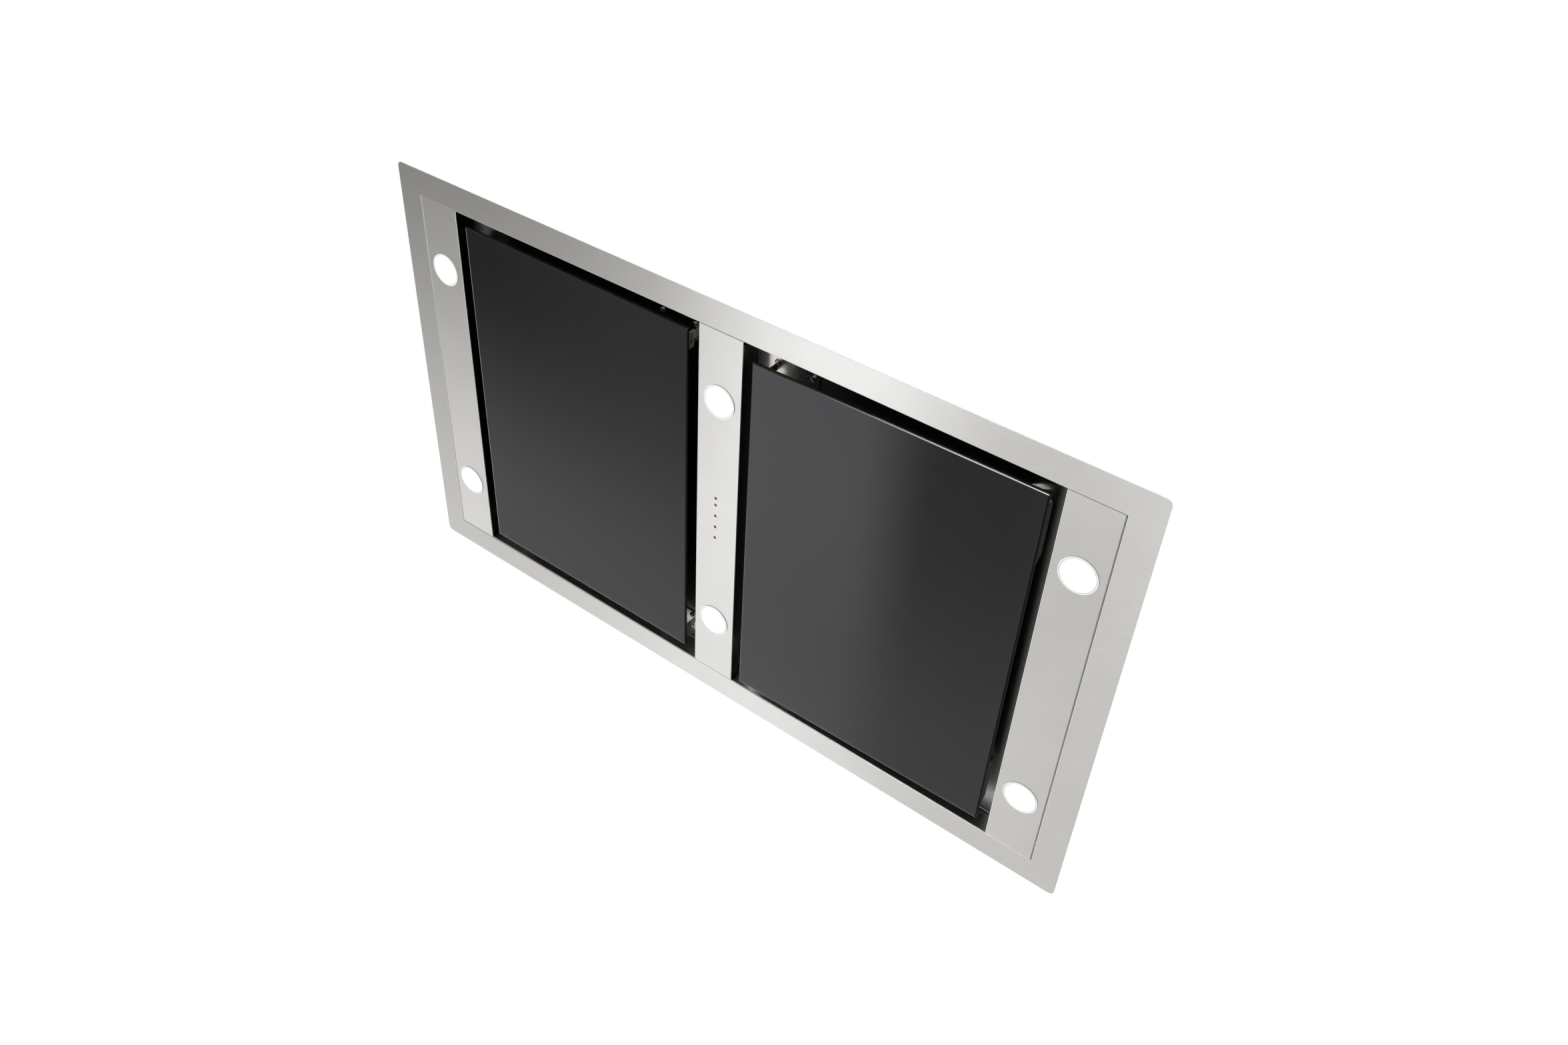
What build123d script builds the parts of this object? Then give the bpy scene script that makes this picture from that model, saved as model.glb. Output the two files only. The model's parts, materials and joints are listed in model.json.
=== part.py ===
from build123d import *
from math import cos, exp, pi, radians, sin
import os

os.makedirs("parts", exist_ok=True)

# ------------------------------------------------------------------ driving dimensions, in millimetres
# The ceiling plane is Z = 0: the face frame lies against it from below, the body stands above it.
# X runs along the long side, Y across the hood, and the origin is the middle of the ceiling cut-out.

# face frame
rim_length = 1200.0
rim_width = 700.0
rim_border = 42.0
rim_corner_radius = 8.0
frame_sheet = 1.2
fold_radius = 1.0
recess_depth = 33.0

# light strips and lamps
strip_width = 72.0
strip_sheet = 1.2
strip_lip = 10.0
strip_end_inset = 6.0
joint_gap = 0.8
lamp_end_inset = 108.0
lamp_hole_gap = 0.5
bezel_lap = 2.1
bezel_height = 1.4
bezel_outer_edge = 0.7
bezel_inner_edge = 0.5
lens_radius = 22.0
lens_gap = 0.3
lens_thickness = 2.0
lens_recess = 0.4
lens_edge_radius = 0.6
lamp_wall = 1.2
lamp_height = 21.0
lamp_fin_depth = 0.8
lamp_fin_pitch = 4.0
lamp_fin_count = 3
clip_width = 8.0
clip_sheet = 0.6
clip_height = 11.0
clip_bend_height = 6.0
clip_reach = 12.0
clip_press_gap = 0.3
clip_tip_reach = 4.0
clip_tip_rise = 1.6

# indicator row on the middle strip
window_radius = 2.2
window_gap = 0.15
window_recess = 0.2
window_offset = -35.0
first_light_offset = -23.0
light_pitch = 20.0
light_count = 4
indicator_shift = -2.0
board_end_margin = 19.0
board_width = 28.0
board_thickness = 1.6
board_height = 7.0
board_spacer_radius = 2.5
board_spacer_inset = 3.5
processor_size = 12.0
processor_offset = -20.0
connector_length = 20.0
connector_width = 9.0
connector_offset = 30.0
board_part_height = 4.0

# recess ledge and filter apertures
ledge_sheet = 1.2
ledge_bend_radius = 2.0
ledge_turn_down = 5.0
aperture_hinge_margin = 4.0
aperture_catch_margin = 8.0
aperture_inner_margin = 70.0
aperture_collar = 14.0

# suction panels
panel_gap_outer = 17.5
panel_gap_inner = 19.5
panel_gap_end = 18.0
glass_thickness = 4.0
glass_edge_radius = 1.5
tray_sheet = 1.0
tray_side_inset = 1.5
tray_end_inset = 12.0
tray_flange = 8.0
tray_flange_start_gap = 17.0
tray_flange_stop_gap = 3.5
tray_flange_end_gap = 23.0
tray_bead = 3.0
tray_bead_end_gap = 67.0

# hinges
hinge_inset = 30.0
hinge_rise = 18.0
ajar_angle = 1.0
hinge_pin_radius = 2.5
hinge_running_gap = 0.05
hinge_eye_radius = 6.0
hinge_sheet = 1.5
hinge_fork = 7.0
hinge_side_gap = 0.6
hinge_pin_end = 1.5
hinge_pin_head_rim = 1.5
hinge_pin_head = 2.4
arm_length = 87.0
arm_foot = 25.0
arm_rise = 15.0
arm_chamfer = 9.0
hinge_foot_start = 12.0
hinge_foot = 24.0
hinge_foot_margin = 3.0
hinge_screw_gap = 2.0
hinge_root = 1.0
hinge_end_inset = 31.5
hinge_far_inset = 102.5

# catches beside the middle strip
catch_end_inset = 24.0
catch_plate_inset = 18.5
catch_plate_margin = 9.0
catch_side_margin = 7.5
catch_sheet = 1.5
catch_screw_pitch_x = 56.0
catch_screw_pitch_y = 21.0
catch_screw_inset = 32.0
catch_leaf_width = 12.0
catch_leaf_sheet = 1.0
catch_leaf_bow = 3.25
catch_leaf_rise = 5.0
catch_leaf_tip = 2.8
catch_leaf_tip_back = 2.35
catch_gap = 0.55
striker_width = 26.0
striker_inset = 3.0
striker_foot = 18.0
striker_rise = 13.0
striker_slot_length = 12.0
striker_slot_height = 4.0
striker_lip_start = 1.5
striker_lip_reach = 2.4
striker_lip_sheet = 1.2

# grease filters
filter_gap = 1.0
filter_height = 12.0
filter_frame_width = 24.0
filter_skin = 2.0
filter_lip = 6.0
mesh_rise = 5.6
mesh_pitch = 12.0
mesh_sheet = 1.2
slide_gap = 0.3
tongue_width = 30.0
tongue_thickness = 2.0
tongue_reach = 2.3
latch_travel = 5.5
latch_block = 12.2
latch_width = 60.0
grip_width = 36.0
grip_depth = 7.0
grip_shift = 1.5
grip_root = 6.0
grip_tip = 2.4
grip_root_depth = 1.0

# screws
screw_radius = 2.0
screw_head_radius = 4.0
screw_head_height = 2.6
screw_hole_gap = 0.1
screw_head_gap = 0.5
screw_tail = 3.0

# body above the ceiling
housing_height = 275.0
housing_sheet = 1.2
housing_lip = 18.0
lid_sheet = 1.2
lid_bead_radius = 4.0
lid_bead_end_inset = 107.2
lid_bead_side_inset = 124.2
lid_bead_duct_gap = 61.5
bracket_end_inset = 89.2
bracket_side_inset = 59.2
bracket_web = 40.0
bracket_foot = 20.0
bracket_rise = 30.0
bracket_width = 40.0
bracket_sheet = 2.5
rod_hole_radius = 4.5

# duct outlet and non-return flaps
duct_radius = 74.5
duct_wall = 1.2
duct_height = 60.0
duct_flange = 16.0
flap_thickness = 1.5
flap_gap = 1.5
flap_pin_radius = 2.0
flap_sleeve_radius = 3.5
flap_pin_spacing = 12.0
flap_height = 14.0
flap_sleeve_end_gap = 8.0
flap_pin_inset = 0.3

# blower
impeller_radius = 72.0
impeller_width = 150.0
blade_count = 32
blade_depth = 13.0
blade_sheet = 1.4
blade_bow = 3.0
blade_lead = 4.8
blade_end_inset = 0.5
impeller_ring = 3.0
impeller_ring_rim = 1.0
impeller_disc = 2.0
hub_radius = 12.0
hub_length = 26.0
hub_foot = 2.0
shaft_radius = 4.0
shaft_running_gap = 0.05
shaft_end_gap = 1.0
shaft_nose = 3.0
scroll_wall = 2.0
scroll_side_gap = 13.0
scroll_cutoff_gap = 11.0
scroll_widening = 46.0
scroll_cutoff_angle = 105.0
blower_floor_gap = 13.57
mouth_gap = 0.5
mouth_flange = 14.0
inlet_lap = 1.0
motor_radius = 44.0
motor_gap = 6.0
motor_end_wall = 11.0
motor_edge_radius = 5.0
mount_sheet = 1.5
mount_spoke_width = 14.0
mount_boss_radius = 20.0
mount_boss_length = 15.0
mount_ring = 8.0
mount_lap = 2.0

# electrical parts
control_box_length = 180.0
control_box_width = 110.0
control_box_height = 45.0
control_box_corner = 4.0
control_box_cover = 12.0
control_box_cover_rim = 2.0
control_box_edge_radius = 2.0
control_box_end_inset = 169.2
control_box_side_inset = 104.2
gland_height = 16.0
gland_radius = 9.0
gland_length = 22.0
gland_bore = 4.0
gland_nut = 5.0
gland_nut_rim = 1.5
driver_length = 150.0
driver_width = 40.0
driver_height = 28.0
driver_ear_length = 15.0
driver_ear_width = 24.0
driver_ear_sheet = 2.0
driver_end_inset = 94.2
driver_lip_gap = 1.2

# ------------------------------------------------------------------ levels and widths that follow from them
face_z = -frame_sheet
ledge_z = face_z + recess_depth
ledge_top = ledge_z + ledge_sheet
lid_z = ledge_top + housing_height
lid_top = lid_z + lid_sheet
strip_inner_z = face_z + strip_sheet

opening_length = rim_length - 2 * rim_border
opening_width = rim_width - 2 * rim_border
bay_length = (opening_length - 3 * strip_width) / 2
bay_edge_x = opening_length / 2 - strip_width
hinge_x = bay_edge_x - hinge_inset
hinge_z = face_z + hinge_rise

panel_length = bay_length - panel_gap_outer - panel_gap_inner
panel_width = opening_width - 2 * panel_gap_end
panel_outer = panel_gap_outer - hinge_inset
panel_inner = panel_outer + panel_length
strip_edge = bay_length - hinge_inset
glass_back = glass_thickness - hinge_rise
tray_back = glass_back + tray_sheet
ledge_local = recess_depth - hinge_rise
tongue_z = ledge_local + filter_height / 2

# hinge brackets and catches, and the filter apertures that stay clear of them
hinge_stations = (panel_width / 2 - hinge_end_inset, hinge_far_inset - panel_width / 2)
hinge_screw_pitch = 2 * screw_head_radius + hinge_screw_gap
hinge_screws_back = hinge_fork / 2 + hinge_sheet + screw_head_gap + screw_head_radius + hinge_screw_pitch / 2
hinge_foot_high = hinge_fork / 2 + hinge_sheet
hinge_foot_low = -hinge_screws_back - hinge_screw_pitch / 2 - screw_head_radius - hinge_foot_margin
catch_station = panel_width / 2 - catch_end_inset
catch_plate_stop = strip_edge - catch_plate_inset
catch_plate_start = strip_edge - catch_screw_inset - catch_screw_pitch_x - catch_plate_margin
catch_plate_width = catch_screw_pitch_y + 2 * catch_side_margin
catch_screws_x = strip_edge - catch_screw_inset - catch_screw_pitch_x / 2
aperture_start = hinge_foot_start + hinge_foot + aperture_hinge_margin
aperture_stop = strip_edge - aperture_inner_margin
aperture_length = aperture_stop - aperture_start
aperture_middle = (aperture_start + aperture_stop) / 2
aperture_width = 2 * (catch_station - catch_plate_width / 2 - aperture_catch_margin)

lamp_body_radius = lens_radius + lens_gap + lamp_wall
bezel_radius = lamp_body_radius + bezel_lap
strip_places = {"left": -(opening_length - strip_width) / 2, "centre": 0.0,
                "right": (opening_length - strip_width) / 2}
lamp_row = opening_width / 2 - lamp_end_inset
lamp_rows = {"front": -lamp_row, "rear": lamp_row}
sides = {"left": -1, "right": 1}


def bay_plane(side, turn=0.0):
    """Plane on the hinge line of one bay: local X points to the middle strip, local Z points up.

    side is -1 for the left bay and 1 for the right one; turn lets the inner edge hang down by that angle.
    """
    angle = radians(turn)
    return Plane(
        origin=(side * hinge_x, 0, hinge_z),
        x_dir=(-side * cos(angle), 0, -sin(angle)),
        z_dir=(-side * sin(angle), 0, cos(angle)),
    )


def section_plane(base, station):
    """Upright plane across a bay at one station along its hinge line, for sheet-metal sections."""
    return Plane(origin=base.from_local_coords((0, station, 0)), x_dir=base.x_dir, z_dir=-base.y_dir)


def side_plane(base, distance):
    """Upright plane along a bay at one distance from its hinge line, for slots and cut-outs."""
    return Plane(origin=base.from_local_coords((distance, 0, 0)), x_dir=base.y_dir, z_dir=base.x_dir)


panel_turn = {"left": 0.0, "right": ajar_angle}

# ------------------------------------------------------------------ face frame
# Brushed stainless rim with a collar folded up round the opening.
with BuildPart() as trim_frame:
    with BuildSketch(Plane.XY.offset(face_z)):
        RectangleRounded(rim_length, rim_width, rim_corner_radius)
        Rectangle(opening_length, opening_width, mode=Mode.SUBTRACT)
    extrude(amount=frame_sheet)
    with BuildSketch(Plane.XY.offset(face_z)):
        Rectangle(opening_length + 2 * frame_sheet, opening_width + 2 * frame_sheet)
        Rectangle(opening_length, opening_width, mode=Mode.SUBTRACT)
    extrude(amount=ledge_top - face_z)
    inner_fold = trim_frame.edges().group_by(Axis.Z)[0].filter_by(
        lambda edge: edge.length < opening_length + 1
        and abs(edge.center().X) < opening_length / 2 + 1
        and abs(edge.center().Y) < opening_width / 2 + 1
    )
    fillet(inner_fold, radius=fold_radius)

trim_frame.part.label = "trim_frame"
export_step(trim_frame.part, "parts/trim_frame.step")

# ------------------------------------------------------------------ recess ledge
# Shallow pan inside the collar: its edge is bent down, and each filter aperture has an upright collar.
with BuildPart() as recess_plate:
    with BuildSketch(Plane.XY.offset(ledge_z - ledge_turn_down)):
        Rectangle(opening_length, opening_width)
        Rectangle(opening_length - 2 * ledge_sheet, opening_width - 2 * ledge_sheet, mode=Mode.SUBTRACT)
    extrude(amount=ledge_turn_down + ledge_sheet)
    with BuildSketch(Plane.XY.offset(ledge_z)):
        Rectangle(opening_length, opening_width)
    extrude(amount=ledge_sheet)
    bend = recess_plate.edges().filter_by(
        lambda edge: abs(edge.center().Z - ledge_z) < 0.01
        and edge.length > opening_width / 2
        and edge.length < opening_length
    )
    fillet(bend, radius=ledge_bend_radius)
    for side in sides.values():
        bay = bay_plane(side)
        with BuildSketch(bay.offset(ledge_local)):
            with Locations((aperture_middle, 0)):
                Rectangle(aperture_length + 2 * ledge_sheet, aperture_width + 2 * ledge_sheet)
        extrude(amount=aperture_collar)
        with BuildSketch(bay.offset(ledge_local)):
            with Locations((aperture_middle, 0)):
                Rectangle(aperture_length, aperture_width)
        extrude(amount=aperture_collar, mode=Mode.SUBTRACT)
        # slots for the fixed tongues and for the latch tongue of the filter
        with BuildSketch(side_plane(bay, aperture_start - 2 * ledge_sheet)):
            with Locations((-aperture_width / 4, tongue_z), (aperture_width / 4, tongue_z)):
                Rectangle(tongue_width + 2 * slide_gap, tongue_thickness + 2 * slide_gap)
        extrude(amount=3 * ledge_sheet, mode=Mode.SUBTRACT)
        with BuildSketch(side_plane(bay, aperture_stop - ledge_sheet)):
            with Locations((0, tongue_z)):
                Rectangle(tongue_width + 2 * slide_gap, tongue_thickness + 2 * slide_gap)
        extrude(amount=3 * ledge_sheet, mode=Mode.SUBTRACT)
        # screw holes under the hinge brackets and the catches
        with BuildSketch(bay.offset(ledge_local)):
            for station in hinge_stations:
                with Locations((hinge_foot_start + hinge_foot / 2, station - hinge_screws_back)):
                    with GridLocations(0, hinge_screw_pitch, 1, 2):
                        Circle(screw_radius + screw_hole_gap)
            for end in (-1, 1):
                with Locations((catch_screws_x, end * catch_station)):
                    with GridLocations(catch_screw_pitch_x, catch_screw_pitch_y, 2, 2):
                        Circle(screw_radius + screw_hole_gap)
        extrude(amount=ledge_sheet, mode=Mode.SUBTRACT)

recess_plate.part.label = "recess_plate"
export_step(recess_plate.part, "parts/recess_plate.step")


# ------------------------------------------------------------------ light strips
# Folded steel channels, flush with the rim. The inner walls reach the ledge and end in a lip that is
# screwed up under it; the walls beside the collar stay short of the pan's turned-down edge.
for place, strip_x in strip_places.items():
    outer = {"left": -1, "centre": 0, "right": 1}[place]
    face_width = strip_width - abs(outer) * joint_gap
    face_x = strip_x - outer * joint_gap / 2
    wall_length = opening_width - 2 * strip_end_inset
    with BuildPart() as light_strip:
        with BuildSketch(Plane.XY.offset(face_z)):
            with Locations((face_x, 0)):
                Rectangle(face_width, opening_width - 2 * joint_gap)
        extrude(amount=strip_sheet)
        for edge_side in (-1, 1):
            beside_collar = edge_side == outer
            wall_height = recess_depth - (2 * ledge_turn_down if beside_collar else 0)
            wall_x = face_x + edge_side * (face_width - strip_sheet) / 2
            with BuildSketch(Plane.XY.offset(face_z)):
                with Locations((wall_x, 0)):
                    Rectangle(strip_sheet, wall_length)
            extrude(amount=wall_height)
            with BuildSketch(Plane.XY.offset(face_z + wall_height - strip_sheet)):
                with Locations((wall_x + edge_side * (strip_sheet - strip_lip) / 2, 0)):
                    Rectangle(strip_lip, wall_length)
            extrude(amount=strip_sheet)
        folds = light_strip.edges().group_by(Axis.Z)[0].filter_by(Axis.Y)
        fillet(folds, radius=fold_radius)
        with BuildSketch(Plane.XY.offset(face_z)):
            with Locations(*[(strip_x, row_y) for row_y in lamp_rows.values()]):
                Circle(lamp_body_radius + lamp_hole_gap)
            if place == "centre":
                with Locations((indicator_shift, window_offset)):
                    Circle(window_radius + window_gap)
                for number in range(light_count):
                    with Locations((indicator_shift, first_light_offset + number * light_pitch)):
                        Circle(window_radius + window_gap)
        extrude(amount=strip_sheet, mode=Mode.SUBTRACT)
    light_strip.part.label = f"light_strip_{place}"
    export_step(light_strip.part, f"parts/light_strip_{place}.step")

# ------------------------------------------------------------------ lamps
# Each lamp is a turned bezel with a finned body behind it, a frosted lens in its mouth and two
# spring clips that grip the strip from inside.
rim_z = face_z - bezel_height
top_z = face_z + lamp_height
seat_z = rim_z + lens_recess + lens_thickness
bore = lens_radius + lens_gap
fin_levels = [top_z - lamp_fin_pitch * (step + 1) for step in range(lamp_fin_count)]
for place, strip_x in strip_places.items():
    for row, row_y in lamp_rows.items():
        axis_plane = Plane(origin=(strip_x, row_y, 0), x_dir=(1, 0, 0), z_dir=(0, -1, 0))
        with BuildPart() as lamp_bezel:
            with BuildSketch(axis_plane):
                with BuildLine():
                    Polyline(
                        (bore, seat_z), (bore, rim_z + bezel_inner_edge), (bore + bezel_inner_edge, rim_z),
                        (bezel_radius - bezel_outer_edge, rim_z), (bezel_radius, rim_z + bezel_outer_edge),
                        (bezel_radius, face_z),
                        (lamp_body_radius, face_z), (lamp_body_radius, top_z), (0, top_z),
                        (0, top_z - lamp_wall), (bore - lamp_wall, top_z - lamp_wall),
                        (bore - lamp_wall, seat_z), close=True,
                    )
                make_face()
                with Locations(*[(lamp_body_radius, level) for level in fin_levels]):
                    Rectangle(2 * lamp_fin_depth, lamp_fin_pitch / 2, mode=Mode.SUBTRACT)
            revolve(axis=Axis((strip_x, row_y, 0), (0, 0, 1)))
        lamp_bezel.part.label = f"lamp_bezel_{place}_{row}"
        export_step(lamp_bezel.part, f"parts/lamp_bezel_{place}_{row}.step")

        with BuildPart() as lamp_lens:
            with BuildSketch(Plane.XY.offset(seat_z - lens_thickness)):
                with Locations((strip_x, row_y)):
                    Circle(lens_radius)
            extrude(amount=lens_thickness)
            fillet(lamp_lens.edges().group_by(Axis.Z)[0], radius=lens_edge_radius)
        lamp_lens.part.label = f"lamp_lens_{place}_{row}"
        export_step(lamp_lens.part, f"parts/lamp_lens_{place}_{row}.step")

with BuildPart() as lamp_clips:
    for strip_x in strip_places.values():
        for row_y in lamp_rows.values():
            for way in (-1, 1):
                root_y = row_y + way * (lamp_body_radius + clip_sheet / 2)
                press_z = strip_inner_z + clip_sheet / 2 + clip_press_gap
                clip_plane = Plane(origin=(strip_x, 0, 0), x_dir=(0, 1, 0), z_dir=(1, 0, 0))
                with BuildSketch(clip_plane):
                    with BuildLine():
                        Polyline(
                            (root_y, strip_inner_z + clip_height), (root_y, strip_inner_z + clip_bend_height),
                            (root_y + way * clip_reach, press_z),
                            (root_y + way * (clip_reach + clip_tip_reach), press_z + clip_tip_rise),
                        )
                    trace(line_width=clip_sheet)
                extrude(amount=clip_width / 2, both=True)
lamp_clips.part.label = "lamp_clips"
export_step(lamp_clips.part, "parts/lamp_clips.step")

# ------------------------------------------------------------------ indicator row
# A small board on four spacers carries the infrared receiver window and four indicator lights, which
# stand in round holes of the middle strip.
last_light_offset = first_light_offset + light_pitch * (light_count - 1)
board_y = (window_offset + last_light_offset) / 2
board_length = last_light_offset - window_offset + 2 * board_end_margin
board_z = strip_inner_z + board_height
window_z = face_z + window_recess
with BuildPart() as control_board:
    with BuildSketch(Plane.XY.offset(board_z)):
        with Locations((indicator_shift, board_y)):
            Rectangle(board_width, board_length)
    extrude(amount=board_thickness)
    with BuildSketch(Plane.XY.offset(board_z + board_thickness)):
        with Locations((indicator_shift, board_y + processor_offset)):
            Rectangle(processor_size, processor_size)
        with Locations((indicator_shift, board_y + connector_offset)):
            Rectangle(connector_width, connector_length)
    extrude(amount=board_part_height)
    with BuildSketch(Plane.XY.offset(strip_inner_z)):
        with Locations((indicator_shift, board_y)):
            spacer_pitch_x = board_width - 2 * board_spacer_inset
            spacer_pitch_y = board_length - 2 * board_spacer_inset
            with GridLocations(spacer_pitch_x, spacer_pitch_y, 2, 2):
                Circle(board_spacer_radius)
    extrude(amount=board_height)
control_board.part.label = "control_board"
export_step(control_board.part, "parts/control_board.step")

with BuildPart() as infrared_window:
    with BuildSketch(Plane.XY.offset(window_z)):
        with Locations((indicator_shift, window_offset)):
            Circle(window_radius)
    extrude(amount=board_z - window_z)
infrared_window.part.label = "infrared_window"
export_step(infrared_window.part, "parts/infrared_window.step")

with BuildPart() as indicator_lights:
    for number in range(light_count):
        with BuildSketch(Plane.XY.offset(window_z)):
            with Locations((indicator_shift, first_light_offset + number * light_pitch)):
                Circle(window_radius)
        extrude(amount=board_z - window_z)
indicator_lights.part.label = "indicator_lights"
export_step(indicator_lights.part, "parts/indicator_lights.step")

# ------------------------------------------------------------------ suction panels, hinges and catches
fork_half = hinge_fork / 2
outer_eye = fork_half + hinge_sheet + hinge_side_gap
arm_end = outer_eye + hinge_sheet
flange_x = panel_outer + tray_side_inset
striker_x = panel_inner - striker_inset - hinge_sheet
leaf_x = striker_x - catch_gap - catch_leaf_sheet / 2

for name, side in sides.items():
    fixed = bay_plane(side)
    moving = bay_plane(side, panel_turn[name])

    # black glass plate whose lower edges are ground round and polished
    with BuildPart() as panel_glass:
        with BuildSketch(moving.offset(-hinge_rise)):
            with Locations((panel_outer + panel_length / 2, 0)):
                Rectangle(panel_length, panel_width)
        extrude(amount=glass_thickness)
        lower_face = panel_glass.faces().sort_by(Axis(moving.origin, moving.z_dir))[0]
        fillet(lower_face.edges(), radius=glass_edge_radius)
    panel_glass.part.label = f"{name}_panel_glass"
    export_step(panel_glass.part, f"parts/{name}_panel_glass.step")

    # steel carrier bonded to the back of the glass, stiffened by upright flanges and two beads
    tray_inner = panel_inner - tray_side_inset
    tray_width = panel_width - 2 * tray_end_inset
    with BuildPart() as panel_tray:
        with BuildSketch(moving.offset(glass_back)):
            with Locations(((flange_x + tray_inner) / 2, 0)):
                Rectangle(tray_inner - flange_x, tray_width)
        extrude(amount=tray_sheet)
        flange_start = flange_x + arm_foot + tray_flange_start_gap
        flange_stop = striker_x + hinge_sheet - striker_foot - tray_flange_stop_gap
        with BuildSketch(moving.offset(glass_back)):
            for end in (-1, 1):
                with Locations(((flange_start + flange_stop) / 2, end * (tray_width - tray_sheet) / 2)):
                    Rectangle(flange_stop - flange_start, tray_sheet)
            inner_run = 2 * (catch_station - striker_width / 2 - tray_flange_end_gap)
            with Locations((flange_stop - tray_sheet / 2, 0)):
                Rectangle(tray_sheet, inner_run)
        extrude(amount=tray_flange)
        for third in (1, 2):
            bead_x = flange_x + (tray_inner - flange_x) * third / 3
            with BuildSketch(section_plane(moving, 0)):
                with Locations((bead_x, tray_back)):
                    Circle(tray_bead)
                with Locations((bead_x, tray_back - tray_bead)):
                    Rectangle(4 * tray_bead, 2 * tray_bead, mode=Mode.SUBTRACT)
            extrude(amount=tray_width / 2 - tray_bead_end_gap, both=True)
    panel_tray.part.label = f"{name}_panel_tray"
    export_step(panel_tray.part, f"parts/{name}_panel_tray.step")

    # hinge arms: angle plates along the outer edge, with a pair of eye plates across one end
    with BuildPart() as hinge_arms:
        for station in hinge_stations:
            arm_middle = station + arm_end - arm_length / 2
            with BuildSketch(moving.offset(tray_back)):
                with Locations((flange_x + arm_foot / 2, arm_middle)):
                    Rectangle(arm_foot, arm_length)
            extrude(amount=hinge_sheet)
            # upright flange, chamfered at its free end
            wall = side_plane(moving, flange_x)
            with BuildSketch(wall):
                with BuildLine():
                    low = station + arm_end - arm_length
                    high = station + arm_end
                    Polyline(
                        (low, tray_back), (high, tray_back), (high, tray_back + arm_rise),
                        (low + arm_chamfer, tray_back + arm_rise), (low, tray_back + arm_rise - arm_chamfer),
                        close=True,
                    )
                make_face()
            extrude(amount=hinge_sheet)
            for way in (-1, 1):
                eye_plane = section_plane(moving, station + way * (outer_eye + hinge_sheet / 2))
                with BuildSketch(eye_plane):
                    Circle(hinge_eye_radius)
                    with Locations(((flange_x + hinge_eye_radius) / 2, tray_back + hinge_sheet / 2)):
                        Rectangle(hinge_eye_radius - flange_x, hinge_sheet)
                    with Locations((flange_x + hinge_sheet / 2, tray_back + arm_rise / 2)):
                        Rectangle(hinge_sheet, arm_rise)
                    make_hull()
                    Circle(hinge_pin_radius + hinge_running_gap, mode=Mode.SUBTRACT)
                extrude(amount=hinge_sheet / 2, both=True)
    hinge_arms.part.label = f"{name}_hinge_arms"
    export_step(hinge_arms.part, f"parts/{name}_hinge_arms.step")

    # hinge brackets: a foot under the ledge with two ears that reach down and outwards to the pin
    with BuildPart() as hinge_brackets:
        for station in hinge_stations:
            with BuildSketch(fixed.offset(ledge_local - hinge_sheet)):
                foot_middle = station + (hinge_foot_high + hinge_foot_low) / 2
                with Locations((hinge_foot_start + hinge_foot / 2, foot_middle)):
                    Rectangle(hinge_foot, hinge_foot_high - hinge_foot_low)
                with Locations((hinge_foot_start + hinge_foot / 2, station - hinge_screws_back)):
                    with GridLocations(0, hinge_screw_pitch, 1, 2):
                        Circle(screw_radius + screw_hole_gap, mode=Mode.SUBTRACT)
            extrude(amount=hinge_sheet)
            for way in (-1, 1):
                ear_plane = section_plane(fixed, station + way * (fork_half + hinge_sheet / 2))
                with BuildSketch(ear_plane):
                    Circle(hinge_eye_radius)
                    root_z = ledge_local - hinge_sheet - hinge_root / 2
                    with Locations((hinge_foot_start + hinge_eye_radius, root_z)):
                        Rectangle(2 * hinge_eye_radius, hinge_root)
                    make_hull()
                    Circle(hinge_pin_radius, mode=Mode.SUBTRACT)
                extrude(amount=hinge_sheet / 2, both=True)
    hinge_brackets.part.label = f"{name}_hinge_brackets"
    export_step(hinge_brackets.part, f"parts/{name}_hinge_brackets.step")

    with BuildPart() as hinge_pins:
        for station in hinge_stations:
            with BuildSketch(section_plane(fixed, station)):
                Circle(hinge_pin_radius)
            extrude(amount=arm_end + hinge_pin_end, both=True)
            with BuildSketch(section_plane(fixed, station + arm_end + hinge_pin_end)):
                Circle(hinge_pin_radius + hinge_pin_head_rim)
            extrude(amount=hinge_pin_head / 2, both=True)
    hinge_pins.part.label = f"{name}_hinge_pins"
    export_step(hinge_pins.part, f"parts/{name}_hinge_pins.step")

    # strikers: slotted angle plates on the back of the inner edge
    with BuildPart() as panel_strikers:
        for end in (-1, 1):
            with BuildSketch(moving.offset(tray_back)):
                with Locations((striker_x + hinge_sheet - striker_foot / 2, end * catch_station)):
                    Rectangle(striker_foot, striker_width)
            extrude(amount=hinge_sheet)
            with BuildSketch(side_plane(moving, striker_x)):
                with Locations((end * catch_station, tray_back + striker_rise / 2)):
                    Rectangle(striker_width, striker_rise)
                    SlotOverall(striker_slot_length, striker_slot_height, mode=Mode.SUBTRACT)
            extrude(amount=hinge_sheet)
            # the end nearest the strip's end is bent outwards
            lip_x = striker_x + hinge_sheet + striker_lip_reach / 2
            lip_y = catch_station + (striker_width - striker_lip_sheet) / 2
            with BuildSketch(moving.offset(tray_back + striker_lip_start)):
                with Locations((lip_x, end * lip_y)):
                    Rectangle(striker_lip_reach, striker_lip_sheet)
            extrude(amount=striker_rise - striker_lip_start)
    panel_strikers.part.label = f"{name}_panel_strikers"
    export_step(panel_strikers.part, f"parts/{name}_panel_strikers.step")

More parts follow.
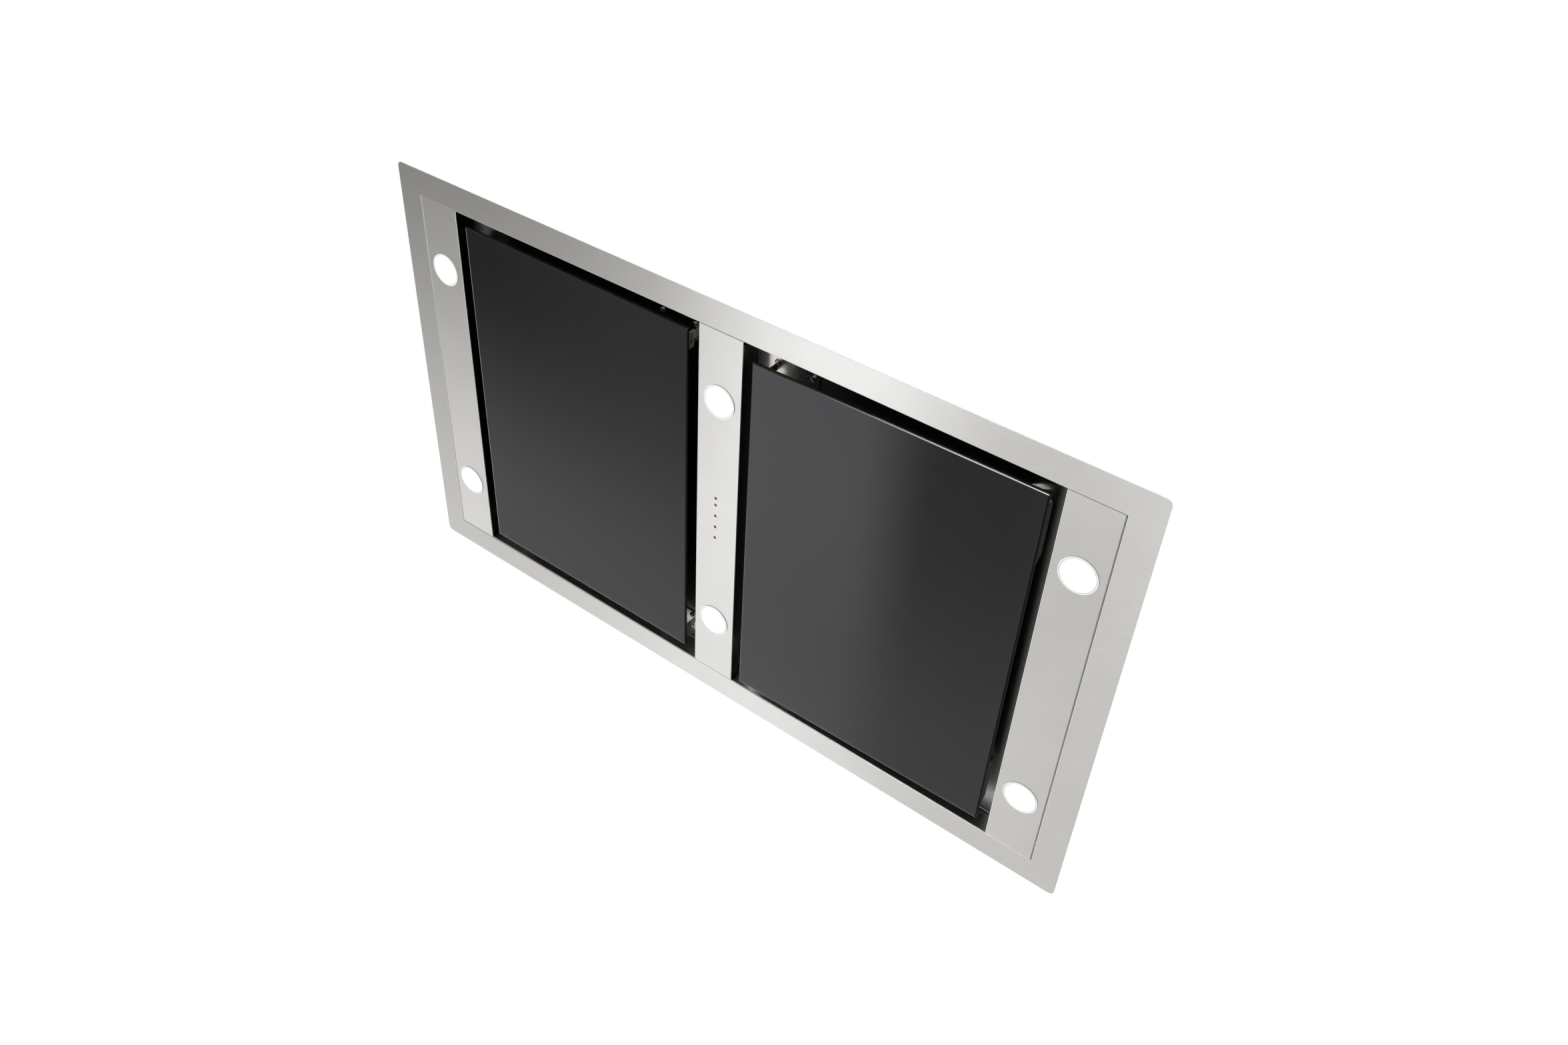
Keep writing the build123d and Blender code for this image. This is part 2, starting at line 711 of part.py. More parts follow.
    # catches: a plate with four screws and a spring leaf that bulges towards the striker's slot
    plate_length = catch_plate_stop - catch_plate_start
    with BuildPart() as catches:
        for end in (-1, 1):
            with BuildSketch(fixed.offset(ledge_local - catch_sheet)):
                with Locations((catch_plate_start + plate_length / 2, end * catch_station)):
                    Rectangle(plate_length, catch_plate_width)
                with Locations((catch_screws_x, end * catch_station)):
                    with GridLocations(catch_screw_pitch_x, catch_screw_pitch_y, 2, 2):
                        Circle(screw_radius + screw_hole_gap, mode=Mode.SUBTRACT)
            extrude(amount=catch_sheet)
            half = catch_leaf_sheet / 2
            slot_z = tray_back + striker_rise / 2
            with BuildSketch(section_plane(fixed, end * catch_station)):
                with BuildLine():
                    Polyline(
                        (leaf_x - catch_leaf_bow, ledge_local - half),
                        (leaf_x - catch_leaf_bow, slot_z + catch_leaf_rise),
                        (leaf_x, slot_z), (leaf_x - catch_leaf_tip_back, slot_z - catch_leaf_tip),
                    )
                trace(line_width=catch_leaf_sheet)
            extrude(amount=catch_leaf_width / 2, both=True)
    catches.part.label = f"{name}_catches"
    export_step(catches.part, f"parts/{name}_catches.step")

# ------------------------------------------------------------------ grease filters
# A hollow frame drops into the aperture: two fixed tongues on its outer side, a sprung latch on its
# inner side, and a pleated mesh held in its groove.
filter_start = aperture_start + filter_gap
filter_length = aperture_length - 2 * filter_gap
filter_width = aperture_width - 2 * filter_gap
filter_stop = filter_start + filter_length
filter_middle = filter_start + filter_length / 2
mesh_length = filter_length - 2 * (filter_frame_width - filter_lip)
mesh_width = filter_width - 2 * (filter_frame_width - filter_lip)
pocket_stop = filter_stop - filter_skin
pocket_start = pocket_stop - latch_block - latch_travel - 2 * slide_gap
block_stop = pocket_stop - slide_gap

for name, side in sides.items():
    bay = bay_plane(side)
    with BuildPart() as filter_frame:
        with BuildSketch(bay.offset(ledge_local)):
            with Locations((filter_middle, 0)):
                Rectangle(filter_length, filter_width)
                Rectangle(filter_length - 2 * filter_frame_width, filter_width - 2 * filter_frame_width,
                          mode=Mode.SUBTRACT)
        extrude(amount=filter_height)
        with BuildSketch(bay.offset(ledge_local + filter_skin)):
            with Locations((filter_middle, 0)):
                Rectangle(mesh_length + 2 * slide_gap, mesh_width + 2 * slide_gap)
        extrude(amount=filter_height - 2 * filter_skin, mode=Mode.SUBTRACT)
        # fixed tongues
        with BuildSketch(side_plane(bay, filter_start - tongue_reach - filter_gap)):
            with Locations((-aperture_width / 4, tongue_z), (aperture_width / 4, tongue_z)):
                Rectangle(tongue_width, tongue_thickness)
        extrude(amount=tongue_reach + filter_gap)
        # latch pocket, its mouth for the grip and its slot for the tongue
        with BuildSketch(bay.offset(ledge_local + filter_skin)):
            with Locations(((pocket_start + pocket_stop) / 2, 0)):
                Rectangle(pocket_stop - pocket_start, latch_width + 2 * slide_gap)
        extrude(amount=filter_height - 2 * filter_skin, mode=Mode.SUBTRACT)
        with BuildSketch(bay.offset(ledge_local)):
            with Locations(((pocket_start + pocket_stop) / 2, 0)):
                Rectangle(pocket_stop - pocket_start - filter_skin, grip_width + 2 * slide_gap)
        extrude(amount=filter_skin, mode=Mode.SUBTRACT)
        with BuildSketch(side_plane(bay, pocket_stop)):
            with Locations((0, tongue_z)):
                Rectangle(tongue_width + 2 * slide_gap, tongue_thickness + 2 * slide_gap)
        extrude(amount=filter_skin, mode=Mode.SUBTRACT)
    filter_frame.part.label = f"{name}_filter_frame"
    export_step(filter_frame.part, f"parts/{name}_filter_frame.step")

    pleats = int(mesh_length / mesh_pitch)
    with BuildPart() as filter_mesh:
        with BuildSketch(section_plane(bay, 0)):
            with BuildLine():
                points = []
                for step in range(2 * pleats + 1):
                    along = filter_middle + (step - pleats) * mesh_pitch / 2
                    points.append((along, tongue_z + mesh_rise / 2 * (-1) ** step))
                Polyline(*points)
            trace(line_width=mesh_sheet)
        extrude(amount=mesh_width / 2, both=True)
    filter_mesh.part.label = f"{name}_filter_mesh"
    export_step(filter_mesh.part, f"parts/{name}_filter_mesh.step")

    with BuildPart() as filter_latch:
        with BuildSketch(bay.offset(ledge_local + filter_skin + slide_gap)):
            with Locations((block_stop - latch_block / 2, 0)):
                Rectangle(latch_block, latch_width)
        extrude(amount=filter_height - 2 * filter_skin - 2 * slide_gap)
        with BuildSketch(side_plane(bay, block_stop)):
            with Locations((0, tongue_z)):
                Rectangle(tongue_width, tongue_thickness)
        extrude(amount=slide_gap + filter_skin + filter_gap + tongue_reach)
        grip_x = block_stop - latch_block / 2 + grip_shift
        grip_root_z = ledge_local + filter_skin + slide_gap + grip_root_depth
        grip_tip_z = ledge_local - grip_depth
        with BuildSketch(section_plane(bay, 0)):
            with BuildLine():
                Polyline(
                    (grip_x - grip_root / 2, grip_root_z), (grip_x + grip_root / 2, grip_root_z),
                    (grip_x + grip_tip / 2, grip_tip_z), (grip_x - grip_tip / 2, grip_tip_z),
                    close=True,
                )
            make_face()
        extrude(amount=grip_width / 2, both=True)
    filter_latch.part.label = f"{name}_filter_latch"
    export_step(filter_latch.part, f"parts/{name}_filter_latch.step")

# ------------------------------------------------------------------ screws
# Identical pan-head screws hold the hinge brackets and the catches up against the ledge.
with BuildPart() as pan_head_screws:
    for side in sides.values():
        bay = bay_plane(side)
        head_spots = []
        for station in hinge_stations:
            for way in (-1, 1):
                screw_y = station - hinge_screws_back + way * hinge_screw_pitch / 2
                head_spots.append((hinge_foot_start + hinge_foot / 2, screw_y))
        for end in (-1, 1):
            for along in (-1, 1):
                for way in (-1, 1):
                    head_spots.append((
                        catch_screws_x + along * catch_screw_pitch_x / 2,
                        end * catch_station + way * catch_screw_pitch_y / 2,
                    ))
        with BuildSketch(bay.offset(ledge_local - catch_sheet - screw_head_height)):
            with Locations(*head_spots):
                Circle(screw_head_radius)
        extrude(amount=screw_head_height)
        with BuildSketch(bay.offset(ledge_local - catch_sheet)):
            with Locations(*head_spots):
                Circle(screw_radius)
        extrude(amount=catch_sheet + ledge_sheet + screw_tail)
pan_head_screws.part.label = "pan_head_screws"
export_step(pan_head_screws.part, "parts/pan_head_screws.step")

# ------------------------------------------------------------------ housing
# Folded sheet body on top of the ledge, with lips turned inwards at its foot and its top.
body_length = opening_length + 2 * frame_sheet
body_width = opening_width + 2 * frame_sheet
with BuildPart() as housing_shell:
    with BuildSketch(Plane.XY.offset(ledge_top)):
        Rectangle(body_length, body_width)
        Rectangle(body_length - 2 * housing_sheet, body_width - 2 * housing_sheet, mode=Mode.SUBTRACT)
    extrude(amount=housing_height)
    for level in (ledge_top, lid_z - housing_sheet):
        with BuildSketch(Plane.XY.offset(level)):
            Rectangle(body_length, body_width)
            Rectangle(body_length - 2 * housing_lip, body_width - 2 * housing_lip, mode=Mode.SUBTRACT)
        extrude(amount=housing_sheet)
housing_shell.part.label = "housing_shell"
export_step(housing_shell.part, "parts/housing_shell.step")

with BuildPart() as housing_lid:
    with BuildSketch(Plane.XY.offset(lid_z)):
        Rectangle(body_length, body_width)
        Circle(duct_radius - duct_wall, mode=Mode.SUBTRACT)
    extrude(amount=lid_sheet)
    # pressed stiffening beads, left out where the control box stands
    bead_start = duct_radius + duct_flange + lid_bead_duct_gap
    bead_stop = body_length / 2 - lid_bead_end_inset
    bead_row = body_width / 2 - lid_bead_side_inset
    for side in sides.values():
        for row in (-1, 0, 1):
            if (side, row) != (-1, -1):
                bead_plane = Plane(
                    origin=(side * bead_start, row * bead_row, lid_top), x_dir=(0, 1, 0), z_dir=(1, 0, 0)
                )
                with BuildSketch(bead_plane):
                    Circle(lid_bead_radius)
                    with Locations((0, -lid_bead_radius)):
                        Rectangle(4 * lid_bead_radius, 2 * lid_bead_radius, mode=Mode.SUBTRACT)
                extrude(amount=side * (bead_stop - bead_start))
housing_lid.part.label = "housing_lid"
export_step(housing_lid.part, "parts/housing_lid.step")

# hanging brackets: raised webs with a hole for a threaded rod
for row, way_y in (("front", -1), ("rear", 1)):
    for name, way_x in sides.items():
        rod_x = way_x * (body_length / 2 - bracket_end_inset)
        rod_y = way_y * (body_width / 2 - bracket_side_inset)
        with BuildPart() as suspension_bracket:
            hat_plane = Plane(origin=(rod_x, rod_y, lid_top), x_dir=(1, 0, 0), z_dir=(0, -1, 0))
            with BuildSketch(hat_plane):
                with BuildLine():
                    half = bracket_sheet / 2
                    Polyline(
                        (-bracket_web / 2 - bracket_foot, half), (-bracket_web / 2, half),
                        (-bracket_web / 2, bracket_rise - half), (bracket_web / 2, bracket_rise - half),
                        (bracket_web / 2, half), (bracket_web / 2 + bracket_foot, half),
                    )
                trace(line_width=bracket_sheet)
            extrude(amount=bracket_width / 2, both=True)
            with BuildSketch(Plane.XY.offset(lid_top + bracket_rise - 2 * bracket_sheet)):
                with Locations((rod_x, rod_y)):
                    Circle(rod_hole_radius)
            extrude(amount=3 * bracket_sheet, mode=Mode.SUBTRACT)
        suspension_bracket.part.label = f"suspension_bracket_{row}_{name}"
        export_step(suspension_bracket.part, f"parts/suspension_bracket_{row}_{name}.step")

# ------------------------------------------------------------------ duct outlet
with BuildPart() as outlet_collar:
    with BuildSketch(Plane.XY.offset(lid_top)):
        Circle(duct_radius + duct_flange)
        Circle(duct_radius - duct_wall, mode=Mode.SUBTRACT)
    extrude(amount=duct_wall)
    with BuildSketch(Plane.XY.offset(lid_top)):
        Circle(duct_radius)
        Circle(duct_radius - duct_wall, mode=Mode.SUBTRACT)
    extrude(amount=duct_height)
    for way in (-1, 1):
        pin_plane = Plane(
            origin=(0, way * flap_pin_spacing / 2, lid_top + flap_height), x_dir=(0, 1, 0), z_dir=(1, 0, 0)
        )
        with BuildSketch(pin_plane):
            Circle(flap_pin_radius)
        extrude(amount=duct_radius + duct_wall, both=True, mode=Mode.SUBTRACT)
outlet_collar.part.label = "outlet_collar"
export_step(outlet_collar.part, "parts/outlet_collar.step")

with BuildPart() as damper_pins:
    for way in (-1, 1):
        pin_plane = Plane(
            origin=(0, way * flap_pin_spacing / 2, lid_top + flap_height), x_dir=(0, 1, 0), z_dir=(1, 0, 0)
        )
        with BuildSketch(pin_plane):
            Circle(flap_pin_radius)
        extrude(amount=duct_radius - flap_pin_inset, both=True)
damper_pins.part.label = "damper_pins"
export_step(damper_pins.part, "parts/damper_pins.step")

for row, way in (("front", -1), ("rear", 1)):
    flap_radius = duct_radius - duct_wall - flap_gap
    pin_y = way * flap_pin_spacing / 2
    sleeve_half = flap_radius - flap_sleeve_end_gap
    with BuildPart() as damper_flap:
        with BuildSketch(Plane.XY.offset(lid_top + flap_height - flap_thickness / 2)):
            Circle(flap_radius)
            with Locations((0, pin_y - way * flap_radius)):
                Rectangle(3 * flap_radius, 2 * flap_radius, mode=Mode.SUBTRACT)
        extrude(amount=flap_thickness)
        sleeve_plane = Plane(origin=(0, pin_y, lid_top + flap_height), x_dir=(0, 1, 0), z_dir=(1, 0, 0))
        with BuildSketch(sleeve_plane):
            Circle(flap_sleeve_radius)
        extrude(amount=sleeve_half, both=True)
        with BuildSketch(sleeve_plane):
            Circle(flap_pin_radius + hinge_running_gap)
        extrude(amount=flap_radius, both=True, mode=Mode.SUBTRACT)
    damper_flap.part.label = f"damper_flap_{row}"
    export_step(damper_flap.part, f"parts/damper_flap_{row}.step")

# ------------------------------------------------------------------ blower
# Double-inlet centrifugal blower across the middle of the body: spiral casing, vaned wheel on the
# motor's shaft, and a motor held in one inlet by a three-armed mount.
scroll_half = impeller_width / 2 + scroll_side_gap
scroll_cutoff_radius = impeller_radius + impeller_ring_rim + scroll_cutoff_gap
scroll_end_radius = scroll_cutoff_radius + scroll_widening
sweep_angle = 360.0 - scroll_cutoff_angle
growth = scroll_end_radius / scroll_cutoff_radius
scroll_drop = scroll_cutoff_radius * growth ** ((270.0 - scroll_cutoff_angle) / sweep_angle)
inlet_radius = impeller_radius - blade_depth - inlet_lap
mouth_right = scroll_end_radius
mouth_left = mouth_right - 2 * (duct_radius + mouth_gap)
blower_y = -(mouth_left + mouth_right) / 2
blower_z = ledge_top + blower_floor_gap + scroll_drop
mouth_rise = lid_z - blower_z
axis_plane = Plane(origin=(0, blower_y, blower_z), x_dir=(0, 1, 0), z_dir=(1, 0, 0))


def spiral_points(inset, steps=8):
    """Points along the casing's logarithmic spiral, moved towards the axis by the inset."""
    points = []
    for step in range(steps + 1):
        angle = radians(scroll_cutoff_angle + sweep_angle * step / steps)
        reach = scroll_cutoff_radius * growth ** (step / steps) - inset
        points.append((reach * cos(angle), reach * sin(angle)))
    return points


with BuildPart() as blower_scroll:
    with BuildSketch(Plane.XY.offset(lid_z - scroll_wall)):
        Rectangle(2 * (scroll_half + mouth_flange), mouth_right - mouth_left + 2 * mouth_flange)
    extrude(amount=scroll_wall)
    for inset, mode in ((0, Mode.ADD), (scroll_wall, Mode.SUBTRACT)):
        curve = spiral_points(inset)
        with BuildSketch(axis_plane):
            with BuildLine():
                Spline(*curve)
                Polyline(
                    curve[-1], (mouth_right - inset, mouth_rise), (mouth_left + inset, mouth_rise), curve[0]
                )
            make_face()
        extrude(amount=scroll_half - inset, both=True, mode=mode)
    with BuildSketch(axis_plane):
        Circle(inlet_radius)
    extrude(amount=2 * scroll_half, both=True, mode=Mode.SUBTRACT)
blower_scroll.part.label = "blower_scroll"
export_step(blower_scroll.part, "parts/blower_scroll.step")

blade_inner = impeller_radius - blade_depth
hub_start = -impeller_disc / 2 - hub_foot
motor_face = hub_start - motor_gap
motor_back = mount_boss_length - scroll_half
shaft_start = motor_back + motor_end_wall + shaft_end_gap
shaft_stop = hub_start + hub_length + shaft_nose

with BuildPart() as blower_impeller:
    with BuildSketch(axis_plane):
        with PolarLocations(0, blade_count):
            with BuildLine():
                blade_root = (blade_inner + blade_end_inset, 0)
                blade_tip = (impeller_radius - blade_end_inset, blade_lead)
                SagittaArc(blade_root, blade_tip, blade_bow)
            trace(line_width=blade_sheet)
    extrude(amount=impeller_width / 2, both=True)
    for way in (-1, 1):
        with BuildSketch(axis_plane.offset(way * impeller_width / 2)):
            Circle(impeller_radius + impeller_ring_rim)
            Circle(blade_inner, mode=Mode.SUBTRACT)
        extrude(amount=-way * impeller_ring)
    with BuildSketch(axis_plane):
        Circle(impeller_radius)
    extrude(amount=impeller_disc / 2, both=True)
    with BuildSketch(axis_plane.offset(hub_start)):
        Circle(hub_radius)
    extrude(amount=hub_length)
    with BuildSketch(axis_plane):
        Circle(shaft_radius)
    extrude(amount=impeller_width / 2, both=True, mode=Mode.SUBTRACT)
blower_impeller.part.label = "blower_impeller"
export_step(blower_impeller.part, "parts/blower_impeller.step")

with BuildPart() as motor_shaft:
    with BuildSketch(axis_plane.offset(shaft_start)):
        Circle(shaft_radius)
    extrude(amount=shaft_stop - shaft_start)
motor_shaft.part.label = "motor_shaft"
export_step(motor_shaft.part, "parts/motor_shaft.step")

with BuildPart() as blower_motor:
    with BuildSketch(axis_plane.offset(motor_back)):
        Circle(motor_radius)
    extrude(amount=motor_face - motor_back)
    fillet(blower_motor.edges().filter_by(GeomType.CIRCLE), radius=motor_edge_radius)
    with BuildSketch(axis_plane.offset(motor_back + motor_end_wall)):
        Circle(shaft_radius + shaft_running_gap)
    extrude(amount=motor_face - motor_back, mode=Mode.SUBTRACT)
blower_motor.part.label = "blower_motor"
export_step(blower_motor.part, "parts/blower_motor.step")

with BuildPart() as motor_mount:
    with BuildSketch(axis_plane.offset(-scroll_half - mount_sheet)):
        Circle(inlet_radius + mount_ring)
        Circle(inlet_radius - mount_lap, mode=Mode.SUBTRACT)
        with PolarLocations(inlet_radius / 2, 3):
            Rectangle(inlet_radius, mount_spoke_width)
        Circle(mount_boss_radius)
    extrude(amount=mount_sheet)
    with BuildSketch(axis_plane.offset(-scroll_half)):
        Circle(mount_boss_radius)
    extrude(amount=mount_boss_length)
motor_mount.part.label = "motor_mount"
export_step(motor_mount.part, "parts/motor_mount.step")

# ------------------------------------------------------------------ electrical parts
box_x = control_box_end_inset + (control_box_length - body_length) / 2
box_y = control_box_side_inset + (control_box_width - body_width) / 2
with BuildPart() as control_box:
    with BuildSketch(Plane.XY.offset(lid_top)):
        with Locations((box_x, box_y)):
            RectangleRounded(control_box_length, control_box_width, control_box_corner)
    extrude(amount=control_box_height)
    with BuildSketch(Plane.XY.offset(lid_top + control_box_height - control_box_cover)):
        with Locations((box_x, box_y)):
            RectangleRounded(
                control_box_length + 2 * control_box_cover_rim,
                control_box_width + 2 * control_box_cover_rim,
                control_box_corner + control_box_cover_rim,
            )
    extrude(amount=control_box_cover)
    fillet(control_box.edges().group_by(Axis.Z)[-1], radius=control_box_edge_radius)
control_box.part.label = "control_box"
export_step(control_box.part, "parts/control_box.step")

gland_plane = Plane(
    origin=(box_x - control_box_length / 2, box_y, lid_top + gland_height), x_dir=(0, 1, 0), z_dir=(-1, 0, 0)
)
with BuildPart() as cable_gland:
    with BuildSketch(gland_plane):
        RegularPolygon(gland_radius + gland_nut_rim, 6)
    extrude(amount=gland_nut)
    with BuildSketch(gland_plane.offset(gland_nut)):
        Circle(gland_radius)
    extrude(amount=gland_length - gland_nut, taper=12)
    with BuildSketch(gland_plane):
        Circle(gland_bore)
    extrude(amount=gland_length, mode=Mode.SUBTRACT)
cable_gland.part.label = "cable_gland"
export_step(cable_gland.part, "parts/cable_gland.step")

driver_x = (body_length - driver_length) / 2 - driver_end_inset
driver_y = (body_width - driver_width) / 2 - housing_lip - driver_lip_gap
with BuildPart() as lamp_driver:
    with BuildSketch(Plane.XY.offset(lid_z)):
        with Locations((driver_x, driver_y)):
            Rectangle(driver_length, driver_width)
    extrude(amount=-driver_height)
    with BuildSketch(Plane.XY.offset(lid_z)):
        with Locations((driver_x, driver_y)):
            Rectangle(driver_length + 2 * driver_ear_length, driver_ear_width)
    extrude(amount=-driver_ear_sheet)
lamp_driver.part.label = "lamp_driver"
export_step(lamp_driver.part, "parts/lamp_driver.step")
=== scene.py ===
import json
import math

import bmesh
import bpy
from mathutils import Matrix, Vector


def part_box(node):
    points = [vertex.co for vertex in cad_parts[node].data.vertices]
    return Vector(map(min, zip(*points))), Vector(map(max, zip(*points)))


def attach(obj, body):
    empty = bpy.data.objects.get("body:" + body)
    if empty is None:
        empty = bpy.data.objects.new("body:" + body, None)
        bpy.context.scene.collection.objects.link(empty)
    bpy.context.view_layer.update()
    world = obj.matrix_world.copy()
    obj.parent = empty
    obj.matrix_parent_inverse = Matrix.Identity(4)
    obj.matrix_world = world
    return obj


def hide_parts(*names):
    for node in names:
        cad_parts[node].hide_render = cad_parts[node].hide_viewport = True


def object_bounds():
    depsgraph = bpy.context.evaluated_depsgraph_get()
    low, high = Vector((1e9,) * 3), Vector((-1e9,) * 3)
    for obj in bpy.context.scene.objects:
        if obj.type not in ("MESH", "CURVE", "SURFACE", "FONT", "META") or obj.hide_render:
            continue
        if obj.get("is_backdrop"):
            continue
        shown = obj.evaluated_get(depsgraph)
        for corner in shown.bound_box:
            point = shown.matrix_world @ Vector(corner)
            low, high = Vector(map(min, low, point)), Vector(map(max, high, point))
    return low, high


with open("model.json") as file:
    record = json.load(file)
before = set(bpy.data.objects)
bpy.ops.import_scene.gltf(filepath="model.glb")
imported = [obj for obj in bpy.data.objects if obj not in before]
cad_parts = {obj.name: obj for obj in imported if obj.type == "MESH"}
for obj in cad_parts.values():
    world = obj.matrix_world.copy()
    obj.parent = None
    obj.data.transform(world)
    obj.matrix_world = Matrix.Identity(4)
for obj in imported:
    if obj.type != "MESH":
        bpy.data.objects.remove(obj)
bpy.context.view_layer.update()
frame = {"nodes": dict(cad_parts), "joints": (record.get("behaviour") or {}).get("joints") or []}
nodes = frame["nodes"]
scene = bpy.context.scene
bpy.ops.object.select_all(action="DESELECT")

# ------------------------------------------------------------------ camera
# The hood is seen from below and from its front right corner, as somebody standing beside the cooker
# would look up at it. The lens sits a little high in its mount, so the frame is shifted down.
camera_place = (0.859, -1.1825, -1.1004)
camera_turn = (143.8115, -36.5362, -3.6655)
lens_length = 29.779
frame_shift = -0.02934

camera_data = bpy.data.cameras.new("camera")
camera_data.lens = lens_length
camera_data.sensor_width = 36.0
camera_data.shift_y = frame_shift
camera_data.clip_start = 0.01
camera_data.clip_end = 100.0
camera = bpy.data.objects.new("camera", camera_data)
camera.location = camera_place
camera.rotation_euler = [math.radians(angle) for angle in camera_turn]
scene.collection.objects.link(camera)
scene.camera = camera

# ------------------------------------------------------------------ studio
# The hood hangs in a pale room. A white ceiling is there only for an eye below it. The floor far below
# keeps the hood's shadow, and mirrors show it as a dim room with one broad soft lamp lying on it, a pale
# patch straight under the hood and a bright horizon behind its left corner.
scene.view_settings.view_transform = "Standard"
white = (1.0, 1.0, 1.0, 1.0)
warm_room = (1.0, 0.98, 0.942, 1.0)
warm_to_white = (0.5, 1.1)
world_level = 0.75
horizon_level = 0.9
horizon_foot = (-0.3, -0.2)
horizon_top = (-0.02, 0.04)
horizon_left = (0.0, -0.3)
horizon_back = (0.3, 0.5)

floor_height = -2.4
floor_half = 9.0
floor_grey = 0.86
room_level = 0.43
soft_lamp_level = 0.98
soft_lamp_fade = 0.75
soft_lamp_left = (-1.95, -1.68)
soft_lamp_right = (-1.1, -0.7)
far_level = 0.26
far_edge = (1.7, 3.2)
far_corner_level = 0.15
far_corner_edge = (-1.5, -0.5)
dark_corner_levels = (0.25, 0.06)
dark_corner_depth = (1.8, 3.2)
dark_corner_edge = (-3.4, -2.0)
right_level = 0.3
right_edge = (-0.45, 0.15)
near_level = 0.35
near_left = (-1.2, -0.8)
near_back = (1.2, 1.6)
skyline_left = (-5.0, -6.0)
skyline_back = (4.5, 5.5)
beside_level = 0.1
beside_edge = (0.55, 0.9)
under_levels = (0.04, 0.85)
under_across = (-1.1, -0.3)
under_back = (0.0, 0.15)

ceiling_half = 8.0
ceiling_lift = 0.0003
ceiling_shade = 0.6


def empty_material(name):
    """A material with nothing in its node tree but the output: the material, its tree and that node."""
    material = bpy.data.materials.new(name)
    material.use_nodes = True
    tree = material.node_tree
    tree.nodes.clear()
    return material, tree, tree.nodes.new("ShaderNodeOutputMaterial")


def add_node(tree, kind, inputs=None, **settings):
    """Adds a shader node; each of its named inputs is given a value or is linked to a socket."""
    node = tree.nodes.new(kind)
    for name, value in settings.items():
        setattr(node, name, value)
    for name, value in (inputs or {}).items():
        if isinstance(value, bpy.types.NodeSocket):
            tree.links.new(value, node.inputs[name])
        else:
            node.inputs[name].default_value = value
    return node


def combine(tree, operation, result, *others):
    """Output of Math nodes that take the first value or socket together with each of the others in turn."""
    for other in others:
        result = add_node(tree, "ShaderNodeMath", {0: result, 1: other}, operation=operation).outputs[0]
    return result


def slope(tree, value, span, before, after, kind="SMOOTHSTEP"):
    """A value that goes from before to after while the given one goes over the span."""
    inputs = {"Value": value, "From Min": span[0], "From Max": span[1], "To Min": before, "To Max": after}
    return add_node(tree, "ShaderNodeMapRange", inputs, interpolation_type=kind).outputs["Result"]


def by_mask(tree, mask, off, on):
    """A value that is off where the mask is 0 and on where it is 1."""
    return slope(tree, mask, (0.0, 1.0), off, on, "LINEAR")


def place_on(tree):
    """Where a point lies on its piece, in metres."""
    return add_node(tree, "ShaderNodeTexCoord").outputs["Object"]


def parts_of(tree, vector):
    """The X, Y and Z of a vector."""
    return add_node(tree, "ShaderNodeSeparateXYZ", {"Vector": vector}).outputs


def mirrored_ray(tree, rays):
    """1 for a ray that comes from a mirror or through glass."""
    return combine(tree, "MAXIMUM", rays.outputs["Is Glossy Ray"], rays.outputs["Is Transmission Ray"])


world = bpy.data.worlds.new("studio")
scene.world = world
world.use_nodes = True
tree = world.node_tree
tree.nodes.clear()
rays = add_node(tree, "ShaderNodeLightPath")
mirrored = mirrored_ray(tree, rays)
seen = combine(tree, "MAXIMUM", rays.outputs["Is Camera Ray"], mirrored)
view = parts_of(tree, add_node(tree, "ShaderNodeTexCoord").outputs["Generated"])
band = combine(tree, "MULTIPLY",
               slope(tree, view["Z"], horizon_foot, 0.0, horizon_level),
               slope(tree, view["X"], horizon_left, 0.0, 1.0),
               slope(tree, view["Y"], horizon_back, 0.0, 1.0),
               slope(tree, view["Z"], horizon_top, 1.0, 0.0), mirrored)
level = combine(tree, "ADD", by_mask(tree, seen, world_level, 1.0), band)
sky = add_node(tree, "ShaderNodeBackground", {"Color": white, "Strength": level})
add_node(tree, "ShaderNodeOutputWorld", {"Surface": sky.outputs[0]})

material, tree, output = empty_material("studio_floor")
place = parts_of(tree, place_on(tree))
across = place["X"]
away = place["Y"]
far = slope(tree, away, far_edge, 0.0, 1.0)
lamp_sides = combine(tree, "MULTIPLY", slope(tree, across, soft_lamp_left, 0.0, 1.0),
                     slope(tree, across, soft_lamp_right, 1.0, 0.0))
lamp_glow = combine(tree, "MULTIPLY", lamp_sides,
                    by_mask(tree, far, soft_lamp_level, soft_lamp_level * (1 - soft_lamp_fade)))
far_glow = combine(tree, "MULTIPLY", far,
                   slope(tree, across, far_corner_edge, far_level + far_corner_level, far_level))
right_glow = combine(tree, "MULTIPLY", slope(tree, across, right_edge, 0.0, right_level),
                     combine(tree, "SUBTRACT", 1.0, far))
near_glow = combine(tree, "MULTIPLY", slope(tree, across, near_left, 0.0, near_level),
                    slope(tree, away, near_back, 1.0, 0.0))
skyline = combine(tree, "MULTIPLY", slope(tree, across, skyline_left, 0.0, horizon_level),
                  slope(tree, away, skyline_back, 0.0, 1.0))
dark_corner = combine(tree, "MULTIPLY", slope(tree, away, dark_corner_depth, *dark_corner_levels),
                      slope(tree, across, dark_corner_edge, 1.0, 0.0))
level = combine(tree, "ADD", lamp_glow, far_glow, right_glow, near_glow, skyline)
level = combine(tree, "ADD", combine(tree, "SUBTRACT", level, dark_corner), room_level)
beside = slope(tree, across, beside_edge, 1.0, beside_level)
is_under = slope(tree, away, under_back, 1.0, 0.0)
level = combine(tree, "MULTIPLY", level, beside, combine(tree, "SUBTRACT", 1.0, is_under))
under = combine(tree, "MULTIPLY", slope(tree, across, under_across, *under_levels), beside, is_under)
level = combine(tree, "ADD", level, under)
tint = add_node(tree, "ShaderNodeMix", data_type="RGBA")
